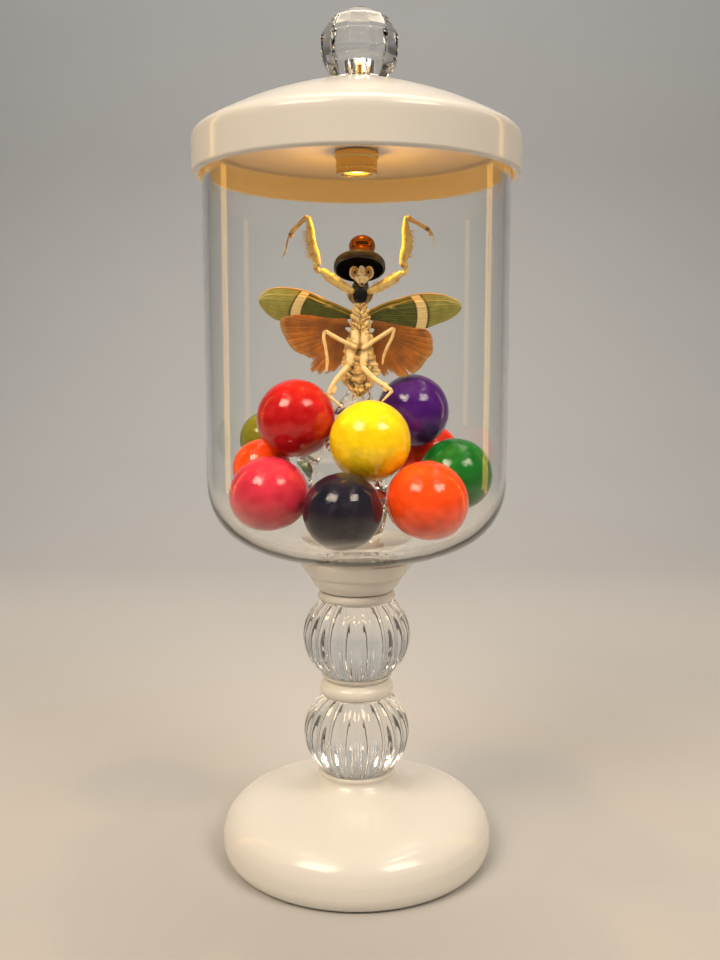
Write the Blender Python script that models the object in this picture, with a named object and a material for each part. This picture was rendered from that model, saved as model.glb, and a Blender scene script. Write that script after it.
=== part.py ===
"""Footed clear jar under a white lid, with a dried flower mantis set over coloured balls.

Blender 4.5 script. Every size below is in millimetres and is scaled to metres when a mesh
is made. +Z is up, the jar's axis is the Z axis and Z = 0 is the table under the foot.
The front of the object looks along -Y.
"""

import math

import bmesh
import bpy
import numpy as np
from mathutils import Matrix, Vector

MM = 0.001
TURN_SIDES = 28
SMALL_TURN_SIDES = 24
GAP = 0.3

# Foot
FOOT_BASE_RADIUS = 51.0
FOOT_RADIUS = 55.7
FOOT_EDGE_HEIGHT = 6.5
FOOT_DOME_TOP = 27.5
FOOT_NECK_RADIUS = 15.2
FOOT_LIP_RADIUS = 15.9
FOOT_LIP_TOP = 35.4
FOOT_CUP_RADIUS = 15.1
FOOT_CUP_FLOOR = 34.4

# Stem: two fluted glass balls between white rings
FLUTES = 24
FLUTE_STEPS = 2
FLUTE_DEPTH = 0.06
LOWER_BALL_RADIUS = 21.8
LOWER_BALL_CENTRE = 51.0
UPPER_BALL_RADIUS = 22.0
UPPER_BALL_CENTRE = 91.9
BALL_HALF_HEIGHT = 20.4
LOWER_BALL_SPAN = (FOOT_CUP_FLOOR + GAP, 66.6)
UPPER_BALL_SPAN = (76.0, 106.5)
BALL_RINGS = 5
MIDDLE_RING_RADIUS = 15.2
MIDDLE_RING_LIP_RADIUS = 14.4
MIDDLE_RING_WAIST_RADIUS = 12.6
UPPER_RING_RADIUS = 15.95
UPPER_RING_SPAN = (UPPER_BALL_SPAN[1] + GAP, 110.4)

# Cup under the jar
CUP_BOTTOM = UPPER_RING_SPAN[1] + GAP
CUP_BOTTOM_RADIUS = 14.9
CUP_STEP_RADIUS = 19.7
CUP_STEP_HEIGHT = 117.7
CUP_RIM_RADIUS = 23.7
CUP_SEAT = 123.3

# Jar: a straight glass wall on a rounded bottom
JAR_RADIUS = 60.0
JAR_WALL = 2.8
JAR_FLOOR = 4.0
JAR_BOTTOM = 123.6
JAR_CURVE_HEIGHT = 37.5
JAR_CURVE_POWER = 2.77
JAR_TOP = 284.0
JAR_CURVE_STEPS = 8

# Lid
LID_RADIUS = 63.8
LID_INNER_RADIUS = 61.0
LID_BOTTOM = 274.2
LID_CEILING = JAR_TOP + 0.6
LID_SHOULDER = 288.0
LID_TOP = 310.7
LID_SEAT_RADIUS = 11.0
LAMP_RADIUS = 8.6
LAMP_BOTTOM = 275.6
LENS_RADIUS = 5.6
LENS_BOTTOM = 277.0
LENS_DEPTH = 2.0

# Knob
KNOB_SIDES = 12
KNOB_TURN = -16.6
KNOB_BASE = LID_TOP + GAP
KNOB_RINGS = ((10.6, KNOB_BASE), (15.0, 318.8), (15.5, 327.0), (11.3, 333.8), (2.8, 338.0))
KNOB_HOLE_RADIUS = 3.8
KNOB_HOLE_TOP = 320.0
FERRULE_RADIUS = 3.2
FERRULE_TOP = 319.4

# Balls: name, centre, radius, colour
BALLS = (
    ("ball_red", (-23.6, -11.1, 181.4), 15.4, (0.55, 0.004, 0.006)),
    ("ball_yellow", (5.1, -21.4, 173.2), 15.7, (0.90, 0.72, 0.01)),
    ("ball_purple", (23.2, 8.9, 183.3), 15.0, (0.04, 0.006, 0.16)),
    ("ball_olive", (-38.5, 22.4, 170.3), 12.2, (0.14, 0.16, 0.01)),
    ("ball_orange_left", (-38.4, -0.1, 160.5), 12.0, (0.90, 0.08, 0.002)),
    ("ball_pink", (-32.7, -25.6, 153.1), 14.8, (0.68, 0.05, 0.10)),
    ("ball_navy", (-5.1, -36.8, 148.2), 14.8, (0.004, 0.005, 0.02)),
    ("ball_orange_right", (26.0, -30.2, 151.2), 15.4, (0.90, 0.08, 0.002)),
    ("ball_green", (40.0, -1.3, 157.5), 15.4, (0.005, 0.13, 0.01)),
    ("ball_vermilion", (30.9, 29.0, 162.8), 14.4, (0.75, 0.03, 0.004)),
)
BALL_SEGMENTS = 12
BALL_ROWS = 7

# Clear support: height, centre x, centre y, radius of each level
SUPPORT_SIDES = 7
SUPPORT_LEVELS = (
    (129.0, -1.0, 4.0, 12.0),
    (146.0, -5.0, 13.0, 21.0),
    (163.0, -6.0, 13.0, 19.0),
    (178.0, -4.0, 13.5, 11.5),
    (190.0, 1.0, 9.6, 6.0),
    (199.0, 1.4, 7.8, 3.8),
)

# Mantis: places are measured from the middle of its thorax
MANTIS_X = 1.4
MANTIS_Z = 221.5
WING_THICKNESS = 0.5
FOREWING_SWEEP = 0.065
HINDWING_SWEEP = 0.03
PLEAT = 0.3
LIMB_SIDES = 5
SPINE_LENGTH = 1.1
MERGE_DISTANCE = 0.000002
FLAT_ANGLE = 0.02

# Forewing stations from root to tip: x, leading edge z, trailing edge z
FOREWING_LEFT = (
    (-2.2, 1.6, -0.4), (-8.5, 4.2, -1.4), (-14.0, 6.4, -1.6), (-20.1, 9.3, -1.2), (-25.1, 10.6, -1.0),
    (-31.0, 11.2, -1.3), (-35.2, 10.9, -0.5), (-38.4, 9.6, 2.1), (-40.6, 7.2, 5.0),
)
FOREWING_RIGHT = (
    (2.2, 1.6, -0.4), (8.9, 4.7, -2.4), (15.5, 6.8, -3.8), (22.0, 8.5, -4.9), (27.3, 8.9, -4.4),
    (33.6, 8.3, -2.2), (37.3, 7.0, 0.2), (39.8, 4.6, 2.6),
)
# Hindwing outlines round the root, from the leading edge to the inner edge: x, z
HINDWING_LEFT = (
    (-5.5, -1.0), (-10.2, -1.2), (-18.5, -0.2), (-23.7, 0.2), (-28.4, -0.2), (-31.7, -1.6),
    (-31.7, -4.5), (-30.3, -8.1), (-28.1, -11.7), (-25.8, -14.2), (-21.9, -15.6), (-18.9, -17.9),
    (-20.9, -20.9), (-17.6, -24.2), (-13.9, -23.6), (-11.9, -22.7), (-8.6, -21.2), (-5.2, -13.0),
)
HINDWING_RIGHT = (
    (5.5, -1.6), (8.0, -2.4), (14.1, -3.5), (22.0, -5.0), (26.0, -5.6), (28.3, -8.1), (28.7, -10.8),
    (29.1, -14.3), (26.8, -16.9), (24.2, -20.6), (21.5, -22.6), (16.9, -24.9), (13.2, -23.2),
    (8.9, -24.2), (5.1, -14.0),
)
HINDWING_ROOT = (3.3, -5.0)

# Body sections along Z: z, left x, right x, y, half depth
ABDOMEN = (
    (-5.0, -3.6, 3.6, -1.4, 2.2), (-9.0, -4.6, 4.6, -1.4, 2.6), (-13.0, -6.8, 5.8, -1.2, 2.8),
    (-14.2, -6.2, 5.4, -1.2, 2.6), (-19.0, -8.5, 7.6, -1.0, 2.8), (-20.2, -7.6, 7.0, -1.0, 2.6),
    (-24.0, -8.4, 7.6, -0.8, 2.6), (-25.2, -7.2, 6.2, -0.8, 2.3), (-28.6, -5.6, 3.8, -0.6, 2.0),
    (-32.2, -2.0, 0.2, -0.4, 1.2),
)
THORAX = (
    (11.2, -0.9, 1.1, -2.6, 0.9), (10.2, -2.2, 2.4, -2.6, 1.6), (5.6, -2.4, 2.6, -2.4, 1.8),
    (4.4, -1.8, 2.0, -2.2, 1.6), (3.0, -2.9, 2.9, -2.0, 2.2), (-1.8, -4.0, 3.9, -1.8, 2.8),
    (-6.4, -3.8, 3.8, -1.6, 2.6),
)
HEAD = (
    (11.2, -0.8, 1.0, -4.6, 0.9), (12.4, -1.5, 1.7, -4.5, 1.4), (15.0, -3.0, 3.4, -4.2, 2.0),
    (17.0, -3.4, 3.8, -4.0, 2.2), (18.6, -2.4, 2.8, -3.8, 1.5),
)
HEAD_EYES = ((-2.7, -4.9, 16.5), (3.2, -4.9, 16.4))
EYE_RADII = (1.75, 1.9, 2.1)
PRONOTUM_FLAPS = (
    ((-2.0, 9.6), (-5.3, 8.7), (-4.6, 6.4), (-1.6, 4.9)),
    ((2.2, 9.2), (5.2, 8.2), (4.2, 6.0), (1.6, 4.9)),
)
FLAP_Y = -2.4
FLAP_THICKNESS = 0.8

# Limbs: points x, y, z and a radius at each point
LIMBS = (
    ("neck", ((0.1, -2.8, 10.4), (0.1, -3.8, 12.6)), (1.2, 1.0)),
    ("left fore coxa", ((-2.0, -3.2, 8.4), (-5.6, -4.0, 10.4), (-16.2, -4.6, 17.6)), (1.5, 1.8, 1.5)),
    ("left trochanter", ((-15.8, -4.6, 17.2), (-18.2, -4.8, 20.0)), (1.3, 1.4)),
    ("left fore femur", ((-17.6, -4.8, 19.0), (-18.6, -4.8, 25.3), (-19.5, -4.8, 31.0), (-20.7, -4.8, 38.4)),
     (1.5, 1.9, 1.6, 0.9)),
    ("left fore tibia", ((-20.4, -4.8, 38.2), (-23.6, -5.4, 35.2), (-28.2, -6.2, 30.6)), (0.95, 0.85, 0.75)),
    ("left fore tarsus", ((-27.8, -6.2, 31.2), (-29.0, -6.2, 27.4), (-30.9, -6.0, 21.4)), (0.6, 0.5, 0.4)),
    ("right fore coxa", ((2.2, -3.2, 8.4), (5.4, -4.0, 10.2), (15.4, -4.6, 16.8)), (1.5, 1.8, 1.5)),
    ("right trochanter", ((15.0, -4.6, 16.5), (17.8, -4.8, 19.2)), (1.3, 1.4)),
    ("right fore femur", ((17.4, -4.8, 18.6), (17.4, -4.8, 25.3), (17.6, -4.8, 31.7), (18.2, -4.8, 38.6)),
     (1.5, 1.9, 1.6, 0.9)),
    ("right fore tibia", ((18.0, -4.8, 38.3), (22.6, -5.4, 34.7), (27.8, -6.2, 31.4)), (0.95, 0.85, 0.75)),
    ("right fore tarsus", ((27.6, -6.2, 31.8), (27.6, -6.2, 28.0), (28.3, -6.0, 24.6)), (0.6, 0.5, 0.4)),
    ("left mid coxa", ((-2.0, -2.4, -5.0), (-1.2, -4.8, -12.2)), (1.7, 1.2)),
    ("left mid femur", ((-0.9, -4.8, -12.9), (-7.4, -5.8, -9.6), (-14.0, -6.6, -6.4)), (1.1, 1.0, 0.8)),
    ("left mid tibia", ((-13.6, -6.6, -6.2), (-12.9, -6.0, -14.0), (-12.8, -4.2, -22.2)), (0.8, 0.7, 0.5)),
    ("right mid coxa", ((2.0, -2.4, -5.0), (1.3, -4.8, -12.4)), (1.7, 1.2)),
    ("right mid femur", ((1.0, -4.8, -13.2), (7.2, -5.8, -9.2), (13.2, -6.6, -5.1)), (1.1, 1.0, 0.8)),
    ("right mid tibia", ((12.9, -6.6, -5.0), (10.6, -6.0, -12.0), (8.5, -4.2, -18.9)), (0.8, 0.7, 0.5)),
    ("left hind coxa", ((-3.6, -2.4, -13.0), (-3.9, -4.4, -20.0)), (1.9, 1.2)),
    ("left hind femur", ((-4.2, -4.4, -19.4), (-8.6, -4.8, -25.4), (-12.6, -5.0, -31.0)), (1.2, 1.0, 0.7)),
    ("left hind tibia", ((-12.6, -5.0, -30.6), (-9.6, -5.2, -33.6), (-6.8, -5.4, -36.4)), (0.8, 0.7, 0.4)),
    ("right hind coxa", ((1.6, -2.4, -13.4), (1.2, -4.4, -20.6)), (1.9, 1.2)),
    ("right hind femur", ((1.2, -4.6, -20.0), (6.8, -6.4, -24.8), (12.7, -8.0, -29.6)), (1.2, 1.0, 0.7)),
    ("right hind tibia", ((12.7, -8.0, -29.3), (10.6, -8.2, -31.0), (8.2, -8.2, -33.2)), (0.8, 0.7, 0.4)),
)
# Saw-toothed edges: start x, z; end x, z; y; half width; number of teeth
SPINED = (
    ((-6.4, 11.0), (-15.4, 17.0), -4.4, 2.0, 5),
    ((6.2, 10.8), (14.6, 16.3), -4.4, 2.0, 5),
    ((-18.2, 21.4), (-19.8, 34.0), -4.7, 2.2, 6),
    ((17.4, 21.0), (17.8, 34.4), -4.7, 2.2, 6),
)
FIN_THICKNESS = 0.6
LEAF_LOBES = (((-9.9, -5.0, -28.6), (1.0, 0.5, 2.2)), ((9.4, -7.1, -27.6), (1.0, 0.5, 2.0)))

# Cap and crown: they share one axis, tilted back from the vertical
HAT_TILT = 25.0
HAT_PLACE = (1.2, 2.0, 239.6)
HAT_RADIUS = 10.3
HAT_HEIGHT = 4.1
HAT_WALL = 1.0
HAT_PAD_RADIUS = 2.4
HAT_PAD_TIP = -1.2
CROWN_RADIUS = 5.3
CROWN_HEIGHT = 12.0
CROWN_SHIFT = 1.0


def clear_scene():
    for obj in list(bpy.data.objects):
        bpy.data.objects.remove(obj, do_unlink=True)


def make_material(name, colour, roughness, metallic=0.0, transmission=0.0, ior=1.5):
    material = bpy.data.materials.new(name)
    material.use_nodes = True
    shader = material.node_tree.nodes["Principled BSDF"]
    shader.inputs["Base Color"].default_value = (*colour, 1.0)
    shader.inputs["Roughness"].default_value = roughness
    shader.inputs["Metallic"].default_value = metallic
    shader.inputs["Transmission Weight"].default_value = transmission
    shader.inputs["IOR"].default_value = ior
    return material


def add_object(name, bm, material, smooth=True, place=None):
    """Turns a mesh worked out in millimetres into an object in metres."""
    bmesh.ops.remove_doubles(bm, verts=bm.verts, dist=0.002)
    bmesh.ops.recalc_face_normals(bm, faces=bm.faces)
    if place is not None:
        bm.transform(place)
    bm.transform(Matrix.Scale(MM, 4))
    mesh = bpy.data.meshes.new(name)
    bm.to_mesh(mesh)
    bm.free()
    mesh.materials.append(material)
    if smooth:
        mesh.shade_smooth()
        mesh.set_sharp_from_angle(angle=math.radians(40.0))
    obj = bpy.data.objects.new(name, mesh)
    bpy.context.scene.collection.objects.link(obj)
    return obj


def arc(centre_r, centre_z, radius_r, radius_z, start_deg, end_deg, steps):
    """Points on an elliptical arc in the plane of a turned profile."""
    angles = np.radians(np.linspace(start_deg, end_deg, steps + 1))
    return [(centre_r + radius_r * math.cos(a), centre_z + radius_z * math.sin(a)) for a in angles]


def spin_profile(outline, sides):
    """Spins an outline of (radius, height) points, given from axis to axis, round Z."""
    bm = bmesh.new()
    verts = [bm.verts.new((radius, 0.0, height)) for radius, height in outline]
    edges = [bm.edges.new(pair) for pair in zip(verts, verts[1:])]
    bmesh.ops.spin(bm, geom=verts + edges, cent=(0, 0, 0), axis=(0, 0, 1), angle=math.tau, steps=sides)
    bmesh.ops.remove_doubles(bm, verts=bm.verts, dist=0.002)
    return bm


def loft(rings):
    """Joins rings of equally many points with quads and fills the two end rings."""
    bm = bmesh.new()
    rows = [[bm.verts.new(point) for point in ring] for ring in rings]
    count = len(rows[0])
    for low, high in zip(rows, rows[1:]):
        for i in range(count):
            j = (i + 1) % count
            bm.faces.new((low[i], low[j], high[j], high[i]))
    bm.faces.new(rows[0][::-1])
    bm.faces.new(rows[-1])
    return bm


def fluted_ball(name, radius, centre, span, material):
    """A squashed ball cut flat at both ends, with valleys pressed in between its flutes."""
    low, high = ((z - centre) / BALL_HALF_HEIGHT for z in span)
    steps = np.linspace(math.asin(low), math.asin(high), BALL_RINGS + 1)
    side = [(radius * math.cos(a), centre + BALL_HALF_HEIGHT * math.sin(a)) for a in steps]
    bm = spin_profile([(0.0, span[0]), *side, (0.0, span[1])], FLUTES * FLUTE_STEPS)
    pitch = math.tau / FLUTES
    for vert in bm.verts:
        phase = (math.atan2(vert.co.y, vert.co.x) / pitch) % 1.0
        if min(phase, 1.0 - phase) < 0.1:
            vert.co.x *= 1.0 - FLUTE_DEPTH
            vert.co.y *= 1.0 - FLUTE_DEPTH
    return add_object(name, bm, material)


def jar_curve(radius, bottom, height, steps):
    """The superellipse quarter that turns the jar's bottom into its wall, from the axis outwards."""
    angles = np.linspace(math.pi / 2, 0.0, steps + 1)
    power = 2.0 / JAR_CURVE_POWER
    return [(radius * math.cos(a) ** power if a < 1.57 else 0.0,
             bottom + height - height * math.sin(a) ** power) for a in angles]


def build_stand(white, clear):
    edge = FOOT_RADIUS - FOOT_BASE_RADIUS
    foot = [(0.0, 0.0), (FOOT_BASE_RADIUS, 0.0)]
    foot += arc(FOOT_BASE_RADIUS, FOOT_EDGE_HEIGHT, edge, FOOT_EDGE_HEIGHT, -60, 0, 2)
    foot += [(55.2, 12.0), (53.2, 16.2), (49.0, 20.2), (42.0, 23.2), (32.0, 25.4), (22.5, FOOT_DOME_TOP)]
    foot += [(17.4, 29.6), (FOOT_NECK_RADIUS, 32.4), (FOOT_LIP_RADIUS, 34.4)]
    foot += [(FOOT_LIP_RADIUS - 0.3, FOOT_LIP_TOP), (FOOT_CUP_RADIUS, FOOT_LIP_TOP)]
    foot += [(FOOT_CUP_RADIUS - 0.4, FOOT_CUP_FLOOR), (0.0, FOOT_CUP_FLOOR)]
    add_object("foot", spin_profile(foot, TURN_SIDES), white)

    fluted_ball("lower_glass_ball", LOWER_BALL_RADIUS, LOWER_BALL_CENTRE, LOWER_BALL_SPAN, clear)
    fluted_ball("upper_glass_ball", UPPER_BALL_RADIUS, UPPER_BALL_CENTRE, UPPER_BALL_SPAN, clear)

    ring_bottom = LOWER_BALL_SPAN[1] + GAP
    ring_top = UPPER_BALL_SPAN[0] - GAP
    middle = [(0.0, ring_bottom), (13.6, ring_bottom)]
    middle += arc(13.2, ring_bottom + 3.0, MIDDLE_RING_RADIUS - 13.2, 3.0, -50, 60, 4)
    middle += [(MIDDLE_RING_WAIST_RADIUS, ring_top - 2.0), (MIDDLE_RING_LIP_RADIUS, ring_top - 0.5),
               (MIDDLE_RING_LIP_RADIUS, ring_top), (0.0, ring_top)]
    add_object("middle_ring", spin_profile(middle, SMALL_TURN_SIDES), white)

    low, high = UPPER_RING_SPAN
    middle_height = (low + high) / 2
    upper = [(0.0, low)] + arc(14.2, middle_height, UPPER_RING_RADIUS - 14.2, middle_height - low, -90, 90, 5)
    add_object("upper_ring", spin_profile(upper + [(0.0, high)], SMALL_TURN_SIDES), white)

    cup = [(0.0, CUP_BOTTOM), (CUP_BOTTOM_RADIUS, CUP_BOTTOM), (17.2, 113.0), (18.7, 115.2)]
    cup += [(CUP_STEP_RADIUS, CUP_STEP_HEIGHT), (CUP_STEP_RADIUS + 1.0, CUP_STEP_HEIGHT + 0.5)]
    cup += [(22.4, 120.4), (CUP_RIM_RADIUS, 123.6), (CUP_RIM_RADIUS - 1.0, 124.0), (17.0, CUP_SEAT)]
    add_object("cup", spin_profile(cup + [(0.0, CUP_SEAT)], SMALL_TURN_SIDES), white)


def build_jar(glass):
    outer = jar_curve(JAR_RADIUS, JAR_BOTTOM, JAR_CURVE_HEIGHT, JAR_CURVE_STEPS)
    inner_height = JAR_CURVE_HEIGHT - JAR_FLOOR
    inner = jar_curve(JAR_RADIUS - JAR_WALL, JAR_BOTTOM + JAR_FLOOR, inner_height, JAR_CURVE_STEPS)
    rim = [(JAR_RADIUS, JAR_TOP - 0.6), (JAR_RADIUS - 0.6, JAR_TOP)]
    rim += [(JAR_RADIUS - JAR_WALL + 0.6, JAR_TOP), (JAR_RADIUS - JAR_WALL, JAR_TOP - 0.6)]
    add_object("jar", spin_profile(outer + rim + inner[::-1], TURN_SIDES), glass)


def build_lid(white, steel, lens, clear, brass):
    lid = [(0.0, LID_CEILING), (LID_INNER_RADIUS - 1.0, LID_CEILING), (LID_INNER_RADIUS, LID_CEILING - 1.0)]
    lid += [(LID_INNER_RADIUS, LID_BOTTOM + 0.8), (LID_INNER_RADIUS + 1.0, LID_BOTTOM)]
    lid += [(LID_RADIUS - 0.8, LID_BOTTOM), (LID_RADIUS, LID_BOTTOM + 0.8), (LID_RADIUS, LID_SHOULDER)]
    lid += [(62.4, 290.2), (59.0, 292.4), (46.0, 298.9), (31.0, 304.6), (18.0, 308.8)]
    lid += [(LID_SEAT_RADIUS, LID_TOP), (0.0, LID_TOP)]
    add_object("lid", spin_profile(lid, TURN_SIDES), white)

    housing_top = LID_CEILING - GAP
    seat, bore = LENS_BOTTOM + LENS_DEPTH + GAP, LENS_RADIUS + GAP
    housing = [(0.0, seat), (bore, seat), (bore, LAMP_BOTTOM), (LAMP_RADIUS - 0.5, LAMP_BOTTOM)]
    housing += [(LAMP_RADIUS, LAMP_BOTTOM + 0.5), (LAMP_RADIUS, housing_top), (0.0, housing_top)]
    add_object("lamp_housing", spin_profile(housing, 20), steel)

    disc = [(0.0, LENS_BOTTOM - 0.5), (3.6, LENS_BOTTOM - 0.2), (LENS_RADIUS, LENS_BOTTOM + 0.6)]
    disc += [(LENS_RADIUS, LENS_BOTTOM + LENS_DEPTH), (0.0, LENS_BOTTOM + LENS_DEPTH)]
    add_object("lamp_lens", spin_profile(disc, 20), lens)

    facets = [(KNOB_HOLE_RADIUS, KNOB_HOLE_TOP), (KNOB_HOLE_RADIUS, KNOB_BASE), *KNOB_RINGS]
    angles = [math.radians(KNOB_TURN) + math.tau * i / KNOB_SIDES for i in range(KNOB_SIDES)]
    knob = loft([[(radius * math.cos(a), radius * math.sin(a), z) for a in angles] for radius, z in facets])
    add_object("knob", knob, clear, smooth=False)

    ferrule = [(0.0, KNOB_BASE), (FERRULE_RADIUS, KNOB_BASE), (FERRULE_RADIUS, 317.6), (2.2, FERRULE_TOP)]
    add_object("knob_ferrule", spin_profile(ferrule + [(0.0, FERRULE_TOP)], 12), brass)


def build_balls():
    for name, centre, radius, colour in BALLS:
        bm = bmesh.new()
        bmesh.ops.create_uvsphere(bm, u_segments=BALL_SEGMENTS, v_segments=BALL_ROWS, radius=radius)
        add_object(name, bm, make_material(name, colour, 0.08), place=Matrix.Translation(centre))


def build_support(clear):
    rings = []
    for level, (height, x, y, radius) in enumerate(SUPPORT_LEVELS):
        turn = 0.35 * level
        angles = [math.tau * (i + turn) / SUPPORT_SIDES for i in range(SUPPORT_SIDES)]
        rings.append([(x + radius * math.cos(a), y + radius * math.sin(a), height) for a in angles])
    bm = loft(rings)
    bmesh.ops.triangulate(bm, faces=[face for face in bm.faces if len(face.verts) == 4])
    add_object("support", bm, clear, smooth=False)


def body_sections(sections, sides):
    """Elliptical rings along Z from (z, left x, right x, y, half depth)."""
    rings = []
    for z, left, right, y, depth in sections:
        angles = (math.tau * (i + 0.5) / sides for i in range(sides))
        half = (right - left) / 2
        rings.append([((left + right) / 2 + half * math.cos(a), y + depth * math.sin(a), z) for a in angles])
    return loft(rings)


def limb(points, radii, sides=LIMB_SIDES):
    """A tapered tube: rings square to the path, with its ends filled."""
    path = [Vector(point) for point in points]
    rings = []
    for i, (point, radius) in enumerate(zip(path, radii)):
        along = (path[min(i + 1, len(path) - 1)] - path[max(i - 1, 0)]).normalized()
        side = along.cross(Vector((0.0, 1.0, 0.0))).normalized()
        front = side.cross(along)
        angles = (math.tau * (k + 0.25) / sides for k in range(sides))
        rings.append([point + radius * (math.cos(a) * side + math.sin(a) * front) for a in angles])
    return loft(rings)


def ellipsoid(centre, radii):
    bm = bmesh.new()
    bmesh.ops.create_icosphere(bm, subdivisions=1, radius=1.0)
    bm.transform(Matrix.Translation(centre) @ Matrix.Diagonal((*radii, 1.0)))
    return bm


def plate(outline, y, thickness):
    """A flat outline of (x, z) points given a thickness along Y."""
    return loft([[(x, y + side * thickness / 2, z) for x, z in outline] for side in (-1, 1)])


def shell(grid, thickness):
    """A closed skin on both sides of a grid of (x, y, z) points; columns run along a row."""
    rows, columns = len(grid), len(grid[0])
    bm = bmesh.new()
    sides = [[[bm.verts.new((x, y + shift, z)) for x, y, z in row] for row in grid]
             for shift in (-thickness / 2, thickness / 2)]
    front, back = sides
    for i in range(rows - 1):
        for j in range(columns - 1):
            bm.faces.new((front[i][j], front[i][j + 1], front[i + 1][j + 1], front[i + 1][j]))
            bm.faces.new((back[i][j], back[i + 1][j], back[i + 1][j + 1], back[i][j + 1]))
    border = [(0, j) for j in range(columns)] + [(i, columns - 1) for i in range(1, rows)]
    border += [(rows - 1, j) for j in range(columns - 2, -1, -1)] + [(i, 0) for i in range(rows - 2, 0, -1)]
    for (a, b), (c, d) in zip(border, border[1:] + border[:1]):
        bm.faces.new((front[a][b], back[a][b], back[c][d], front[c][d]))
    return bm


def forewing(stations):
    """A long wing with a low ridge along its middle that sweeps back towards the tip."""
    grid = []
    for x, lead, trail in stations:
        y = 0.2 + FOREWING_SWEEP * abs(x)
        grid.append([(x, y, lead), (x, y - 0.5, 0.45 * lead + 0.55 * trail), (x, y, trail)])
    return shell(grid, WING_THICKNESS)


def hindwing(outline, side):
    """A pleated fan from the wing's root; neighbouring rays lie before and behind its plane."""
    root_x, root_z = side * HINDWING_ROOT[0], HINDWING_ROOT[1]
    grid = []
    for i, (x, z) in enumerate(outline):
        row = []
        for share in (0.12, 0.6, 1.0):
            fold = PLEAT * share * (1 if i % 2 else -1)
            rx, rz = root_x + share * (x - root_x), root_z + share * (z - root_z)
            row.append((rx, -0.9 + HINDWING_SWEEP * abs(rx) + fold, rz))
        grid.append(row)
    return shell(grid, WING_THICKNESS)


def toothed_fin(start, end, y, half_width, teeth):
    """A thin plate along a limb with a row of spines down both of its edges."""
    a, b = Vector((*start, 0.0)), Vector((*end, 0.0))
    along = (b - a) / teeth
    side = Vector((-along.y, along.x, 0.0)).normalized()
    upper, lower = [], []
    for i in range(teeth):
        for share, reach in ((0.05, half_width - SPINE_LENGTH), (0.5, half_width + SPINE_LENGTH / 2)):
            point = a + along * (i + share)
            upper.append(point + side * reach)
            lower.append(point - side * reach)
    outline = [(p.x, p.y) for p in upper + lower[::-1]]
    return plate(outline, y, FIN_THICKNESS)


def unite(name, meshes, material):
    """One exact Boolean union of closed meshes, with flat neighbours joined again afterwards."""
    pieces = [add_object(f"{name}_piece", bm, material, smooth=False) for bm in meshes]
    whole = pieces[0]
    others = bpy.data.collections.new(f"{name}_pieces")
    for piece in pieces[1:]:
        others.objects.link(piece)
    union = whole.modifiers.new("union", "BOOLEAN")
    union.operation = "UNION"
    union.solver = "EXACT"
    union.operand_type = "COLLECTION"
    union.collection = others
    bpy.context.view_layer.update()
    merged = bpy.data.meshes.new_from_object(whole.evaluated_get(bpy.context.evaluated_depsgraph_get()))
    for piece in pieces:
        bpy.data.objects.remove(piece, do_unlink=True)
    bpy.data.collections.remove(others)

    bm = bmesh.new()
    bm.from_mesh(merged)
    bmesh.ops.remove_doubles(bm, verts=bm.verts, dist=MERGE_DISTANCE)
    bmesh.ops.dissolve_limit(bm, angle_limit=FLAT_ANGLE, verts=bm.verts, edges=bm.edges)
    bmesh.ops.triangulate(bm, faces=bm.faces)
    bm.to_mesh(merged)
    bm.free()
    merged.name = name
    obj = bpy.data.objects.new(name, merged)
    bpy.context.scene.collection.objects.link(obj)
    return obj


def build_mantis(dry):
    meshes = [body_sections(THORAX, 8), body_sections(ABDOMEN, 10), body_sections(HEAD, 8)]
    meshes += [ellipsoid(centre, EYE_RADII) for centre in HEAD_EYES]
    meshes += [plate(outline, FLAP_Y, FLAP_THICKNESS) for outline in PRONOTUM_FLAPS]
    meshes += [limb(points, radii) for _, points, radii in LIMBS]
    meshes += [toothed_fin(*fin) for fin in SPINED]
    meshes += [ellipsoid(centre, radii) for centre, radii in LEAF_LOBES]
    meshes += [forewing(FOREWING_LEFT), forewing(FOREWING_RIGHT)]
    meshes += [hindwing(HINDWING_LEFT, -1), hindwing(HINDWING_RIGHT, 1)]
    place = Matrix.Translation((MANTIS_X, 0.0, MANTIS_Z))
    for bm in meshes:
        bm.transform(place)
    mantis = unite("mantis", meshes, dry)
    mantis.data.shade_flat()


def build_hat(felt, copper):
    tilt = Matrix.Translation(HAT_PLACE) @ Matrix.Rotation(math.radians(-HAT_TILT), 4, "X")
    inner = HAT_RADIUS - HAT_WALL
    ceiling = HAT_HEIGHT - HAT_WALL
    cap = [(0.0, HAT_PAD_TIP), (HAT_PAD_RADIUS, HAT_PAD_TIP + 0.5), (HAT_PAD_RADIUS, ceiling - 0.4)]
    cap += [(inner - 1.6, ceiling), (inner, ceiling - 1.4), (inner, 0.0), (HAT_RADIUS, 0.0)]
    cap += [(HAT_RADIUS, HAT_HEIGHT - 1.6), (HAT_RADIUS - 1.2, HAT_HEIGHT), (0.0, HAT_HEIGHT)]
    add_object("hat_cap", spin_profile(cap, 20), felt, place=tilt)

    base = HAT_HEIGHT + GAP
    top = base + CROWN_HEIGHT
    crown = [(0.0, base), (CROWN_RADIUS - 0.2, base), (CROWN_RADIUS, top - 5.0)]
    crown += [(CROWN_RADIUS - 1.0, top - 2.6), (2.4, top - 1.2), (2.2, top - 0.4), (0.0, top - 0.4)]
    shift = Matrix.Translation((CROWN_SHIFT, 0.0, 0.0))
    add_object("hat_crown", spin_profile(crown, 16), copper, place=tilt @ shift)


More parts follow.
